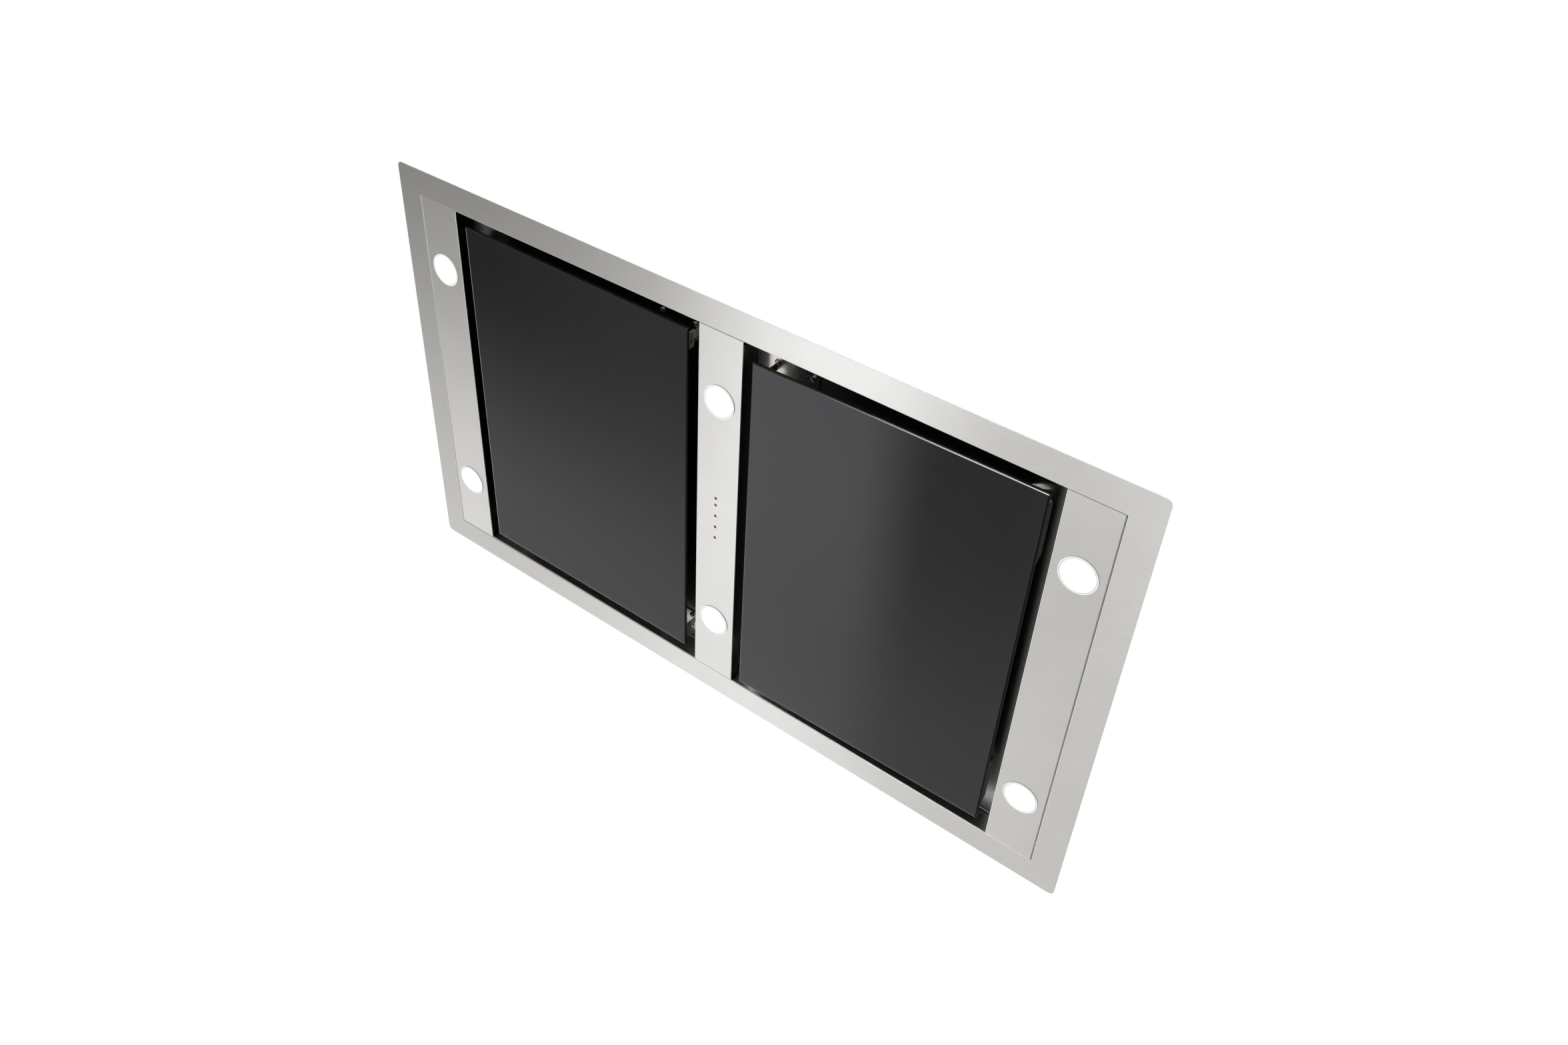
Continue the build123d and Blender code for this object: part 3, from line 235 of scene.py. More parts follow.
tree.links.new(slope(tree, level, warm_to_white, 0.0, 1.0), tint.inputs["Factor"])
tint.inputs["A"].default_value = warm_room
tint.inputs["B"].default_value = white
glow = add_node(tree, "ShaderNodeEmission", {"Strength": level, "Color": tint.outputs["Result"]})
paint = add_node(tree, "ShaderNodeBsdfDiffuse", {"Color": (floor_grey, floor_grey, floor_grey, 1.0)})
rays = add_node(tree, "ShaderNodeLightPath")
pick = add_node(tree, "ShaderNodeMixShader", {
    0: mirrored_ray(tree, rays), 1: paint.outputs[0], 2: glow.outputs[0]})
tree.links.new(pick.outputs[0], output.inputs["Surface"])
bpy.ops.mesh.primitive_plane_add(size=2 * floor_half, location=(0, 0, floor_height))
floor = bpy.context.object
floor.name = "studio_floor"
floor.data.materials.append(material)
floor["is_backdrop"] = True

# the ceiling board has the cut-out that the housing passes through
material, tree, output = empty_material("studio_ceiling")
rays = add_node(tree, "ShaderNodeLightPath")
facing = add_node(tree, "ShaderNodeNewGeometry")
shown = combine(tree, "MAXIMUM", rays.outputs["Is Camera Ray"], mirrored_ray(tree, rays))
from_below = combine(tree, "SUBTRACT", shown, facing.outputs["Backfacing"])
level = by_mask(tree, rays.outputs["Is Camera Ray"], ceiling_shade, 1.0)
clear = add_node(tree, "ShaderNodeBsdfTransparent")
paint = add_node(tree, "ShaderNodeEmission", {"Strength": level})
pick = add_node(tree, "ShaderNodeMixShader", {
    0: combine(tree, "MAXIMUM", from_below, 0.0), 1: clear.outputs[0], 2: paint.outputs[0]})
tree.links.new(pick.outputs[0], output.inputs["Surface"])
shell_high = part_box("housing_shell")[1]
signs = ((-1, -1), (1, -1), (1, 1), (-1, 1))
corners = [(ceiling_half * x, ceiling_half * y, ceiling_lift) for x, y in signs]
corners += [(shell_high.x * x, shell_high.y * y, ceiling_lift) for x, y in signs]
boards = [(i, i + 4, (i + 1) % 4 + 4, (i + 1) % 4) for i in range(4)]
ceiling_mesh = bpy.data.meshes.new("studio_ceiling")
ceiling_mesh.from_pydata(corners, [], boards)
ceiling_mesh.materials.append(material)
ceiling = bpy.data.objects.new("studio_ceiling", ceiling_mesh)
scene.collection.objects.link(ceiling)
ceiling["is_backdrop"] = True


def soft_lamp(name, place, aim, width, depth, power):
    """A rectangular studio lamp at a place, turned towards a point."""
    data = bpy.data.lights.new(name, "AREA")
    data.shape = "RECTANGLE"
    data.size = width
    data.size_y = depth
    data.energy = power
    lamp = bpy.data.objects.new(name, data)
    lamp.location = place
    lamp.rotation_mode = "QUATERNION"
    lamp.rotation_quaternion = (Vector(aim) - Vector(place)).to_track_quat("-Z", "Y")
    lamp.visible_camera = False
    scene.collection.objects.link(lamp)
    return lamp


above = soft_lamp("lamp_above", place=(1.5, -2.5, 3.2), aim=(0, 0, 0.2), width=3.0, depth=2.0, power=90)
fill = soft_lamp("lamp_below", place=(-1.05, 1.65, -1.73), aim=(0, 0, 0), width=1.05, depth=0.75, power=17)
for lamp in (above, fill):
    lamp.visible_glossy = False
soft_lamp("lamp_key", place=(-0.6, -2.36, -1.73), aim=(0, 0, 0), width=0.52, depth=0.22, power=13)

# ------------------------------------------------------------------ face frame
# The rim is one stainless sheet, ground lengthwise with a fine belt: the scratches run one way, so it
# mirrors the room sharply along them and smears it across them.
rim_color = (0.765, 0.762, 0.751)
grain_across = 750.0
grain_along = 90.0
cloud_span = (0.35, 0.65)
cloud_tones = (0.985, 1.01)
upright_span = (0.3, 0.6)
cut_blend = 0.0004
# painted shade: over this rise above the face the strips' walls are darkened; beside the rim they keep
# joint_shade of their colour
wall_shade_span = (-0.0005, 0.0012)
joint_shade = 0.9
joint_across = (0.53, 0.54)
joint_away = (0.305, 0.307)


def brushed_grain_group():
    """Node group: scratches stretched along one axis, and soft clouds of unevenness."""
    group = bpy.data.node_groups.new("brushed_grain", "ShaderNodeTree")
    group.interface.new_socket("Stretch", in_out="INPUT", socket_type="NodeSocketVector")
    group.interface.new_socket("Scratches", in_out="OUTPUT", socket_type="NodeSocketFloat")
    group.interface.new_socket("Clouds", in_out="OUTPUT", socket_type="NodeSocketFloat")
    start = add_node(group, "NodeGroupInput")
    place = place_on(group)
    stretched = add_node(group, "ShaderNodeVectorMath", {0: place, 1: start.outputs["Stretch"]},
                         operation="MULTIPLY")
    scratches = add_node(group, "ShaderNodeTexNoise", {
        "Vector": stretched.outputs[0], "Scale": 1.0, "Detail": 4.0, "Roughness": 0.62})
    clouds = add_node(group, "ShaderNodeTexNoise", {"Vector": place, "Scale": 16.0, "Detail": 3.0})
    add_node(group, "NodeGroupOutput", {
        "Scratches": scratches.outputs["Fac"], "Clouds": clouds.outputs["Fac"]})
    return group


brushed_grain = brushed_grain_group()


def by_noise(tree, noise, low, high):
    """A value from low to high that follows a noise, most of which lies from 0.3 to 0.7."""
    return slope(tree, noise, (0.3, 0.7), low, high, "LINEAR")


def tinted(tree, color, tone):
    """A colour multiplied by a tone that varies over the surface."""
    tint = add_node(tree, "ShaderNodeMix", data_type="RGBA", blend_type="MULTIPLY")
    tint.inputs["Factor"].default_value = 1.0
    tint.inputs["A"].default_value = (*color, 1.0)
    tree.links.new(tone, tint.inputs["B"])
    return tint.outputs["Result"]


def cover(tree, output, inputs):
    """Makes one Principled shader the surface of a material."""
    shader = add_node(tree, "ShaderNodeBsdfPrincipled", inputs)
    tree.links.new(shader.outputs[0], output.inputs["Surface"])


def ground_steel(name, color, along, rough, smear, depth, tone_low=0.98, tone_high=1.01, bend=0.0003,
                 inside=1.0, gloss_spread=0.06, cut_height=0.0006):
    """Belt-ground stainless sheet. along is the axis of the scratches, smear how much they spread a mirror
    image across themselves, depth how deep they are, and bend the radius that every edge is dressed to.
    The scratches vary its tone from tone_low to tone_high and its gloss by gloss_spread. Upright faces
    below cut_height are dull, as a sheared edge is. inside is how much of its colour the sheet keeps where
    it is folded up into the slots, away from the joints to the rim: a painted shade for the dark it lies
    in."""
    material, tree, output = empty_material(name)
    stretch = [grain_along if axis == along else grain_across for axis in "XYZ"]
    grain = add_node(tree, "ShaderNodeGroup", node_tree=brushed_grain)
    grain.inputs["Stretch"].default_value = stretch
    scratches = grain.outputs["Scratches"]
    tone = combine(tree, "MULTIPLY", by_noise(tree, scratches, tone_low, tone_high),
                   slope(tree, grain.outputs["Clouds"], cloud_span, *cloud_tones, "LINEAR"))
    surface = add_node(tree, "ShaderNodeTexCoord")
    facing = parts_of(tree, surface.outputs["Normal"])
    place = parts_of(tree, surface.outputs["Object"])
    cut = combine(tree, "MULTIPLY",
                  slope(tree, combine(tree, "ABSOLUTE", facing["Z"], 0.0), upright_span, 1.0, 0.0),
                  slope(tree, place["Z"], (cut_height, cut_height + cut_blend), 1.0, 0.0))
    # painted shade: the walls folded up into the slots are darkened to inside of their colour, except
    # beside the joints to the rim
    if inside < 1.0:
        beside_rim = combine(
            tree, "MAXIMUM",
            slope(tree, combine(tree, "ABSOLUTE", place["X"], 0.0), joint_across, 0.0, joint_shade),
            slope(tree, combine(tree, "ABSOLUTE", place["Y"], 0.0), joint_away, 0.0, joint_shade))
        cut = combine(tree, "MULTIPLY", cut, beside_rim)
        shade = combine(tree, "MAXIMUM", slope(tree, place["Z"], wall_shade_span, 1.0, inside), beside_rim)
        tone = combine(tree, "MULTIPLY", tone, shade)
    gloss = by_noise(tree, scratches, rough * (1 - gloss_spread), rough * (1 + gloss_spread))
    edges = add_node(tree, "ShaderNodeBevel", {"Radius": bend}, samples=4)
    relief = add_node(tree, "ShaderNodeBump", {
        "Strength": 1.0, "Distance": depth, "Height": scratches, "Normal": edges.outputs[0]})
    crosswise = {"X": (0.0, 1.0, 0.0), "Y": (1.0, 0.0, 0.0)}[along]
    tangent = add_node(tree, "ShaderNodeCombineXYZ", dict(zip("XYZ", crosswise)))
    cover(tree, output, {
        "Metallic": by_mask(tree, cut, 1.0, 0.0), "Base Color": tinted(tree, color, tone),
        "Roughness": gloss, "Anisotropic": smear, "Tangent": tangent.outputs[0],
        "Normal": relief.outputs[0]})
    return material


def dress(material, *names):
    """Gives CAD nodes one finish."""
    for name in names:
        if not nodes[name].material_slots:
            nodes[name].data.materials.append(material)
        for slot in nodes[name].material_slots:
            slot.material = material


rim_steel = ground_steel("rim_steel", rim_color, along="X", rough=0.29, smear=0.75, depth=0.000001,
                         tone_low=0.952, tone_high=1.038)
dress(rim_steel, "trim_frame")

# ------------------------------------------------------------------ light strips
# Three folded channels of the same sheet, laid crosswise and ground along their length, a little finer.
# Their walls, folded up into the slots, are darkened as painted shade, except beside the joints to the rim.
strip_color = (0.81, 0.807, 0.796)
# inside=0.07 is the painted shade of the strips' walls in the slots
strip_steel = ground_steel("strip_steel", strip_color, along="Y", rough=0.27, smear=0.5,
                           depth=0.00000004, tone_low=0.998, tone_high=1.002, inside=0.07,
                           gloss_spread=0.01, cut_height=0.004)
dress(strip_steel, "light_strip_left", "light_strip_centre", "light_strip_right")

# ------------------------------------------------------------------ lamps
# Each lamp has a turned trim ring of milky satin metal with two fine grooves round its face and two small
# key notches, on a finned body that sits in the strip. A frosted lens fills its mouth.
ring_sides = 96
ring_centre_hole = 0.001
lens_clearance = 0.0003
case_wall = 0.0012
case_chamfer = 0.0004
lip_steps = ((0.0, 0.0004), (0.0002, 0.0001), (0.0005, 0.0))
edge_steps = ((0.0007, 0.0), (0.0003, 0.0001), (0.0001, 0.0003), (0.0, 0.0007))
inner_groove = {"inset": 0.0008, "width": 0.0007, "depth": 0.00075}
outer_groove = {"inset": 0.0011, "width": 0.0002, "depth": 0.0003}
notch_angles = (174.0, -37.0)
notch_reach = 0.0009
notch_depth = 0.0006
fin_height = 0.002
fin_depth = 0.0008
fin_count = 3
flush = 0.00001
# painted light: below this span the ring's face glows as if lit by its lamp; above it the grooves and body
# take a painted shade
painted_light_span = (-0.0024, -0.0021)
painted_groove_shade = 0.72
ring_white = (0.86, 0.86, 0.85)
painted_ring_glow = (0.16, 0.16, 0.155)
lens_white = (0.95, 0.95, 0.93)
lens_light = (1.0, 0.995, 0.97, 1.0)
lens_strength = 1.6
lamps = [f"{place}_{row}" for place in ("left", "centre", "right") for row in ("front", "rear")]


def in_edit_mode(piece, select="FACE"):
    """Makes one piece the only selected one and opens its mesh for editing."""
    bpy.ops.object.select_all(action="DESELECT")
    piece.select_set(True)
    bpy.context.view_layer.objects.active = piece
    bpy.ops.object.mode_set(mode="EDIT")
    bpy.ops.mesh.select_mode(type=select)


def select_where(piece, kind, test):
    """Selects the faces or edges of the mesh being edited that pass a test, and nothing else."""
    mesh = bmesh.from_edit_mesh(piece.data)
    for face in mesh.faces:
        face.select_set(False)
    for edge in mesh.edges:
        edge.select_set(False)
    for element in getattr(mesh, kind):
        if test(element):
            element.select_set(True)
    bmesh.update_edit_mesh(piece.data)


def turned_piece(name, centre, profile, sides):
    """A turned solid on an upright axis: a disc drawn out through the radii and heights of its profile."""
    radius, height = profile[0]
    bpy.ops.object.select_all(action="DESELECT")
    bpy.ops.mesh.primitive_circle_add(vertices=sides, radius=radius, fill_type="NGON",
                                      location=(centre.x, centre.y, height))
    piece = bpy.context.object
    piece.name = name
    bpy.ops.object.transform_apply(location=True)
    in_edit_mode(piece)
    bpy.ops.mesh.select_all(action="SELECT")
    for next_radius, next_height in profile[1:]:
        bpy.ops.mesh.extrude_region_move(TRANSFORM_OT_translate={"value": (0, 0, next_height - height)})
        scale = next_radius / radius
        bpy.ops.transform.resize(value=(scale, scale, 1.0), center_override=(centre.x, centre.y, 0.0))
        radius, height = next_radius, next_height
    bpy.ops.mesh.select_all(action="SELECT")
    bpy.ops.mesh.normals_make_consistent(inside=False)
    return piece


def smooth_finish(piece, angle=35.0):
    """Leaves edit mode and shades round stretches smooth and flat ones flat."""
    bpy.ops.object.mode_set(mode="OBJECT")
    bpy.ops.object.shade_smooth_by_angle(angle=math.radians(angle))
    bpy.ops.object.modifier_add(type="WEIGHTED_NORMAL")
    piece.modifiers[-1].keep_sharp = True
    bpy.ops.object.modifier_apply(modifier=piece.modifiers[-1].name)


def noise(tree, place, scale, detail):
    """An unevenness over the piece; scale is about how many grains there are to the metre."""
    inputs = {"Vector": place, "Scale": scale, "Detail": detail}
    return add_node(tree, "ShaderNodeTexNoise", inputs).outputs["Fac"]


# the ring's face glows faintly and its grooves and body are darkened: painted light and painted shade
ring_satin, tree, output = empty_material("ring_satin")
place = place_on(tree)
painted_light_mask = slope(tree, parts_of(tree, place)["Z"], painted_light_span, 1.0, 0.0)
tone = combine(tree, "MULTIPLY", by_noise(tree, noise(tree, place, 2500.0, 2.0), 0.97, 1.0),
               by_mask(tree, painted_light_mask, painted_groove_shade, 1.0))
cover(tree, output, {
    "Base Color": tinted(tree, ring_white, tone), "Roughness": 0.35,
    "Emission Color": tinted(tree, painted_ring_glow, painted_light_mask), "Emission Strength": 1.0})

lens_frost, tree, output = empty_material("lens_frost")
speckle = noise(tree, place_on(tree), 1800.0, 2.0)
relief = add_node(tree, "ShaderNodeBump", {"Strength": 1.0, "Distance": 0.00002, "Height": speckle})
cover(tree, output, {
    "Base Color": tinted(tree, lens_white, by_noise(tree, speckle, 0.97, 1.0)), "Roughness": 0.4,
    "Normal": relief.outputs[0], "Emission Color": lens_light, "Emission Strength": lens_strength})

strip_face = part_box("light_strip_centre")[0].z
for lamp in lamps:
    low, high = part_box(f"lamp_bezel_{lamp}")
    lens_low, lens_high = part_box(f"lamp_lens_{lamp}")
    centre = (low + high) / 2
    outside = (high.x - low.x) / 2
    bore = (lens_high.x - lens_low.x) / 2 + lens_clearance
    case = bore + case_wall
    ring_face = low.z
    profile = [(ring_centre_hole, lens_high.z), (bore, lens_high.z)]
    profile += [(bore + out, ring_face + up) for out, up in lip_steps]
    for start, groove in ((bore + inner_groove["inset"], inner_groove),
                          (outside - outer_groove["inset"], outer_groove)):
        end = start + groove["width"]
        bottom = ring_face + groove["depth"]
        profile += [(start, ring_face), (start, bottom), (end, bottom), (end, ring_face)]
    profile += [(outside - inwards, ring_face + up) for inwards, up in edge_steps]
    profile += [(outside, strip_face), (case, strip_face)]
    for fin in range(fin_count, 0, -1):
        level = high.z - 2 * fin * fin_height
        profile += [(case, level - fin_height / 2), (case - fin_depth, level - fin_height / 2),
                    (case - fin_depth, level + fin_height / 2), (case, level + fin_height / 2)]
    profile += [(case, high.z - case_chamfer), (case - case_chamfer, high.z), (ring_centre_hole, high.z)]
    ring = turned_piece(f"lamp_ring_{lamp}", centre, profile, ring_sides)
    notches = []
    for angle in notch_angles:
        direction = Vector((math.cos(math.radians(angle)), math.sin(math.radians(angle)), 0.0))
        notches.append(centre + 0.5 * (bore + outside) * direction)

    def in_notch(part):
        middle = part.calc_center_median()
        near = any((middle.xy - notch.xy).length < notch_reach for notch in notches)
        return near and middle.z < ring_face + flush

    select_where(ring, "faces", in_notch)
    bpy.ops.mesh.extrude_region_move(TRANSFORM_OT_translate={"value": (0, 0, notch_depth)})
    smooth_finish(ring)
    ring.data.materials.append(ring_satin)
    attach(ring, "hood_body")
    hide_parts(f"lamp_bezel_{lamp}")
    dress(lens_frost, f"lamp_lens_{lamp}")


# ------------------------------------------------------------------ lamp clips
# Springs bent from strip steel grip each lamp in its strip. Theirs is the first of the coated, plated and
# moulded finishes: a colour with faint unevenness and a fine relief, and edges that handling has rubbed
# a little lighter and smoother.
def edge_wear_group():
    """Node group: 1 where the surface turns over an edge of about the given radius, 0 on flat stretches."""
    group = bpy.data.node_groups.new("edge_wear", "ShaderNodeTree")
    group.interface.new_socket("Radius", in_out="INPUT", socket_type="NodeSocketFloat")
    group.interface.new_socket("Worn", in_out="OUTPUT", socket_type="NodeSocketFloat")
    start = add_node(group, "NodeGroupInput")
    rounded = add_node(group, "ShaderNodeBevel", {"Radius": start.outputs["Radius"]}, samples=4)
    flat = add_node(group, "ShaderNodeNewGeometry").outputs["Normal"]
    turn = add_node(group, "ShaderNodeVectorMath", {0: rounded.outputs[0], 1: flat},
                    operation="DOT_PRODUCT").outputs["Value"]
    patches = noise(group, place_on(group), 120.0, 3.0)
    worn = combine(group, "MULTIPLY", slope(group, turn, (0.98, 0.86), 0.0, 1.0),
                   slope(group, patches, (0.35, 0.6), 0.3, 1.0))
    add_node(group, "NodeGroupOutput", {"Worn": worn})
    return group


edge_wear = edge_wear_group()


def worn_edges(tree, edge):
    """The mask of rubbed edges of a radius, and the rounded normal that goes with them."""
    rubbed = add_node(tree, "ShaderNodeGroup", node_tree=edge_wear)
    rubbed.inputs["Radius"].default_value = edge
    rounded = add_node(tree, "ShaderNodeBevel", {"Radius": edge}, samples=4)
    return rubbed.outputs["Worn"], rounded.outputs[0]


def plain_finish(name, color, rough, metallic=0.0, grain_scale=900.0, depth=0.00001, unevenness=0.08,
                 rough_spread=0.05, wear=0.25, edge=0.0005):
    """Principled surface with a fine noise in its colour, gloss and relief, and rubbed edges."""
    material, tree, output = empty_material(name)
    place = place_on(tree)
    fine = noise(tree, place, grain_scale, 3.0)
    broad = noise(tree, place, 9.0, 4.0)
    worn, rounded = worn_edges(tree, edge)
    tone = combine(tree, "MULTIPLY", by_noise(tree, broad, 1.0 - unevenness, 1.0 + unevenness),
                   by_mask(tree, worn, 1.0, 1.0 + wear))
    gloss = combine(tree, "MULTIPLY",
                    by_noise(tree, fine, max(rough - rough_spread, 0.02), rough + rough_spread),
                    by_mask(tree, worn, 1.0, 0.8))
    relief = add_node(tree, "ShaderNodeBump", {
        "Strength": 1.0, "Distance": depth, "Height": fine, "Normal": rounded})
    cover(tree, output, {
        "Metallic": metallic, "Base Color": tinted(tree, color, tone), "Roughness": gloss,
        "Normal": relief.outputs[0]})
    return material


spring_steel = plain_finish("spring_steel", (0.55, 0.55, 0.54), 0.25, metallic=1.0)
dress(spring_steel, "lamp_clips")

# ------------------------------------------------------------------ indicator row
# A receiver window of dark plastic and four dark red lights stand in round holes of the middle strip.
# They are fixed on a green circuit board behind it.
board_green = plain_finish("board_green", (0.02, 0.11, 0.05), 0.3)
dress(board_green, "control_board")
window_black = plain_finish("window_black", (0.010, 0.014, 0.011), 0.12, wear=0.05)
dress(window_black, "infrared_window")
light_red = plain_finish("light_red", (0.075, 0.014, 0.010), 0.2, wear=0.05)
dress(light_red, "indicator_lights")

# ------------------------------------------------------------------ recess ledge
# The shallow pan behind the panels is one sheet of plain satin stainless, with an opening for each filter.
# It looks dark because it lies in the panels' shade, and its colour is also set at about half the rim's as
# painted shade.
pan_shaded_color = (0.40, 0.395, 0.385)
pan_steel = ground_steel("pan_steel", pan_shaded_color, along="X", rough=0.36, smear=0.0, depth=0.0000004,
                         tone_low=0.97, tone_high=1.02)
dress(pan_steel, "recess_plate")

# ------------------------------------------------------------------ glass panels
# Each suction panel is a plate of black back-coated glass. A narrow polished facet is ground round its
# lower face; the front one is given a silver mirror finish as a painted highlight, so it shows a thin line
# of light. The right panel hangs a degree open on its hinge.
glass_facet = 0.0022
glass_facet_rise = 0.00065
glass_edge = 0.0011
glass_arris = 0.0003
glass_corner = 0.0012
glass_sharp_angle = 14.0
front_facing = -0.2
facet_facing = -0.93
touching = 0.0001
glass_black = (0.006, 0.006, 0.0066)
highlight_silver = (0.9, 0.9, 0.89)
joints = {joint["name"]: joint for joint in frame["joints"]}


def polished_glass(name, color, metallic):
    """Polished plate with faint smears in its colour and gloss; metallic is 1 for the front facet, silvered
    as a painted highlight.
    """
    material, tree, output = empty_material(name)
    smears = noise(tree, place_on(tree), 7.0, 5.0)
    cover(tree, output, {
        "Base Color": tinted(tree, color, by_noise(tree, smears, 0.9, 1.1)), "Metallic": metallic,
        "Roughness": by_noise(tree, smears, 0.028, 0.045), "Specular Tint": (0.95, 0.975, 1.0, 1.0)})
    return material


black_glass = polished_glass("black_glass", glass_black, 0.0)
bright_facet = polished_glass("bright_facet", highlight_silver, 1.0)


def glass_plate(name, low, high):
    """A ground plate between two corners, with round lower edges and lightly broken upper ones."""
    bpy.ops.object.select_all(action="DESELECT")
    bpy.ops.mesh.primitive_cube_add(size=1.0, location=(low + high) / 2)
    plate = bpy.context.object
    plate.name = name
    plate.scale = high - low
    bpy.ops.object.transform_apply(location=True, scale=True)
    in_edit_mode(plate, "FACE")
    select_where(plate, "faces", lambda face: face.normal.z < facet_facing)
    bpy.ops.mesh.extrude_region_move(TRANSFORM_OT_translate={"value": (0, 0, 0)})
    scale = [1 - 2 * glass_facet / (high[axis] - low[axis]) for axis in (0, 1)]
    bpy.ops.transform.resize(value=(*scale, 1.0), center_override=(low + high) / 2)
    bpy.ops.mesh.select_mode(type="EDGE")

    def rise(edge):
        return abs(edge.verts[0].co.z - edge.verts[1].co.z)

    def on_rim(edge):
        middle = (edge.verts[0].co + edge.verts[1].co) / 2
        outside = any(abs(middle[axis] - side[axis]) < touching for axis in (0, 1) for side in (low, high))
        return outside and middle.z < (low.z + high.z) / 2 and rise(edge) < touching

    select_where(plate, "edges", on_rim)
    bpy.ops.transform.translate(value=(0, 0, glass_facet_rise))
    rounds = (
        (lambda edge: rise(edge) > glass_edge, glass_corner, 8),
        (on_rim, glass_edge, 6),
        (lambda edge: min(vert.co.z for vert in edge.verts) > high.z - flush, glass_arris, 2),
    )
    for test, radius, segments in rounds:
        select_where(plate, "edges", test)
        bpy.ops.mesh.bevel(offset=radius, segments=segments, affect="EDGES")
    smooth_finish(plate, glass_sharp_angle)
    return plate


low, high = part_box("left_panel_glass")
for side in ("left", "right"):
    joint = joints[f"{side}_panel_hinge"]
    if side == "left":
        plate = glass_plate("left_glass_plate", low, high)
    else:
        mirrored_low = Vector((-high.x, low.y, low.z))
        mirrored_high = Vector((-low.x, high.y, high.z))
        plate = glass_plate("right_glass_plate", mirrored_low, mirrored_high)
        anchor = Matrix.Translation(joint["pos_m"])
        ajar = math.radians(joint["range_deg"][0])
        plate.data.transform(anchor @ Matrix.Rotation(ajar, 4, "Y") @ anchor.inverted())
    plate.data.materials.append(black_glass)
    plate.data.materials.append(bright_facet)
    # the front facet takes the silver of the painted highlight
    for face in plate.data.polygons:
        face.material_index = int(face.normal.y < front_facing and face.normal.z < facet_facing)
    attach(plate, f"{side}_panel")
    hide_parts(f"{side}_panel_glass")

# ------------------------------------------------------------------ carriers, hinges and catches
# A black-coated steel tray is bonded to each glass. The hinges are nickel-plated pressings; the arms'
# flanges and the brackets' feet are made black and dull as painted shade. The strikers and catches are
# satin nickel.
painted_shade_black = (0.035, 0.035, 0.034, 1.0)
flange_shade_depth = (0.0022, 0.0018)
foot_shade_depth = (0.0021, 0.0017)
tray_coat = plain_finish("tray_coat", (0.035, 0.035, 0.036), 0.4)
satin_nickel = plain_finish("satin_nickel", (0.78, 0.75, 0.70), 0.27, metallic=1.0, depth=0.0000003,
                            unevenness=0.03, rough_spread=0.01, wear=0.15, edge=0.0003)
zinc_plate = plain_finish("zinc_plate", (0.66, 0.67, 0.69), 0.2, metallic=1.0, depth=0.000002, edge=0.0002)
hinge_plate = plain_finish("hinge_plate", (0.70, 0.67, 0.62), 0.12, metallic=1.0, wear=0.1, edge=0.0003)

# painted shade: the outermost faces of the arms' flanges and the faces of the brackets' feet against the
# ledge are made black and not metallic
flange_face = -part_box("left_hinge_arms")[0].x
foot_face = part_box("left_hinge_brackets")[1].z
tree = hinge_plate.node_tree
place = parts_of(tree, place_on(tree))
outwards = combine(tree, "ABSOLUTE", place["X"], 0.0)
painted_shade_mask = combine(tree, "MAXIMUM",
                slope(tree, outwards, [flange_face - depth for depth in flange_shade_depth], 0.0, 1.0),
                slope(tree, place["Z"], [foot_face - depth for depth in foot_shade_depth], 0.0, 1.0))
shader = tree.nodes["Principled BSDF"]
painted_shade_mix = add_node(tree, "ShaderNodeMix", data_type="RGBA")
tree.links.new(painted_shade_mask, painted_shade_mix.inputs["Factor"])
tree.links.new(shader.inputs["Base Color"].links[0].from_socket, painted_shade_mix.inputs["A"])
painted_shade_mix.inputs["B"].default_value = painted_shade_black
tree.links.new(painted_shade_mix.outputs["Result"], shader.inputs["Base Color"])
tree.links.new(by_mask(tree, painted_shade_mask, 1.0, 0.0), shader.inputs["Metallic"])
for side in ("left", "right"):
    dress(tray_coat, f"{side}_panel_tray")
    dress(hinge_plate, f"{side}_hinge_arms", f"{side}_hinge_brackets")
    dress(satin_nickel, f"{side}_panel_strikers", f"{side}_catches")
    dress(zinc_plate, f"{side}_hinge_pins")

# ------------------------------------------------------------------ screws
# Pan-head screws with a cross recess hold the hinge brackets and the catches up against the ledge. Each
# is turned from a disc, rounded over its rim, and its recess is pressed in from above.
head_sides = 28
head_steps = ((1.0, 0.0), (1.0, 0.45), (0.96, 0.66), (0.86, 0.84), (0.70, 0.95), (0.55, 1.0))
shank_tip = 0.4
shank_point = 0.6
recess_half_width = 0.00055
recess_reach = 0.0020
recess_depth = 0.0014
recess_taper = 0.62
turn_each = 37.0
catch_sheet = 0.0015
catch_head_radius = 0.004
catch_shank_radius = 0.002
tip_reach = 0.005


def cross_screw(name, radius, height, shank_radius, shank_length):
    """One screw standing on its shank: the head's seat is at height 0, and the cross is on top."""
    shank = [(shank_tip * shank_radius, -shank_length),
             (shank_radius, -shank_length + shank_point * shank_radius), (shank_radius, 0.0)]
    head = [(out * radius, up * height) for out, up in head_steps]
    screw = turned_piece(name, Vector((0, 0, 0)), shank + head, head_sides)

    def on_top(face):
        return face.calc_center_median().z > height - flush and face.normal.z > 0.9

    for axis in (Vector((1, 0, 0)), Vector((0, 1, 0))):
        for reach in (-recess_reach, -recess_half_width, recess_half_width, recess_reach):
            select_where(screw, "faces", on_top)
            bpy.ops.mesh.bisect(plane_co=axis * reach, plane_no=axis)

    def in_cross(face):
        middle = face.calc_center_median()
        small, large = sorted((abs(middle.x), abs(middle.y)))
        return on_top(face) and small < recess_half_width and large < recess_reach

    select_where(screw, "faces", in_cross)
    bpy.ops.mesh.extrude_region_move(TRANSFORM_OT_translate={"value": (0, 0, -recess_depth)})
    bpy.ops.transform.resize(value=(recess_taper, recess_taper, 1.0), center_override=(0, 0, 0))
    smooth_finish(screw)
    return screw


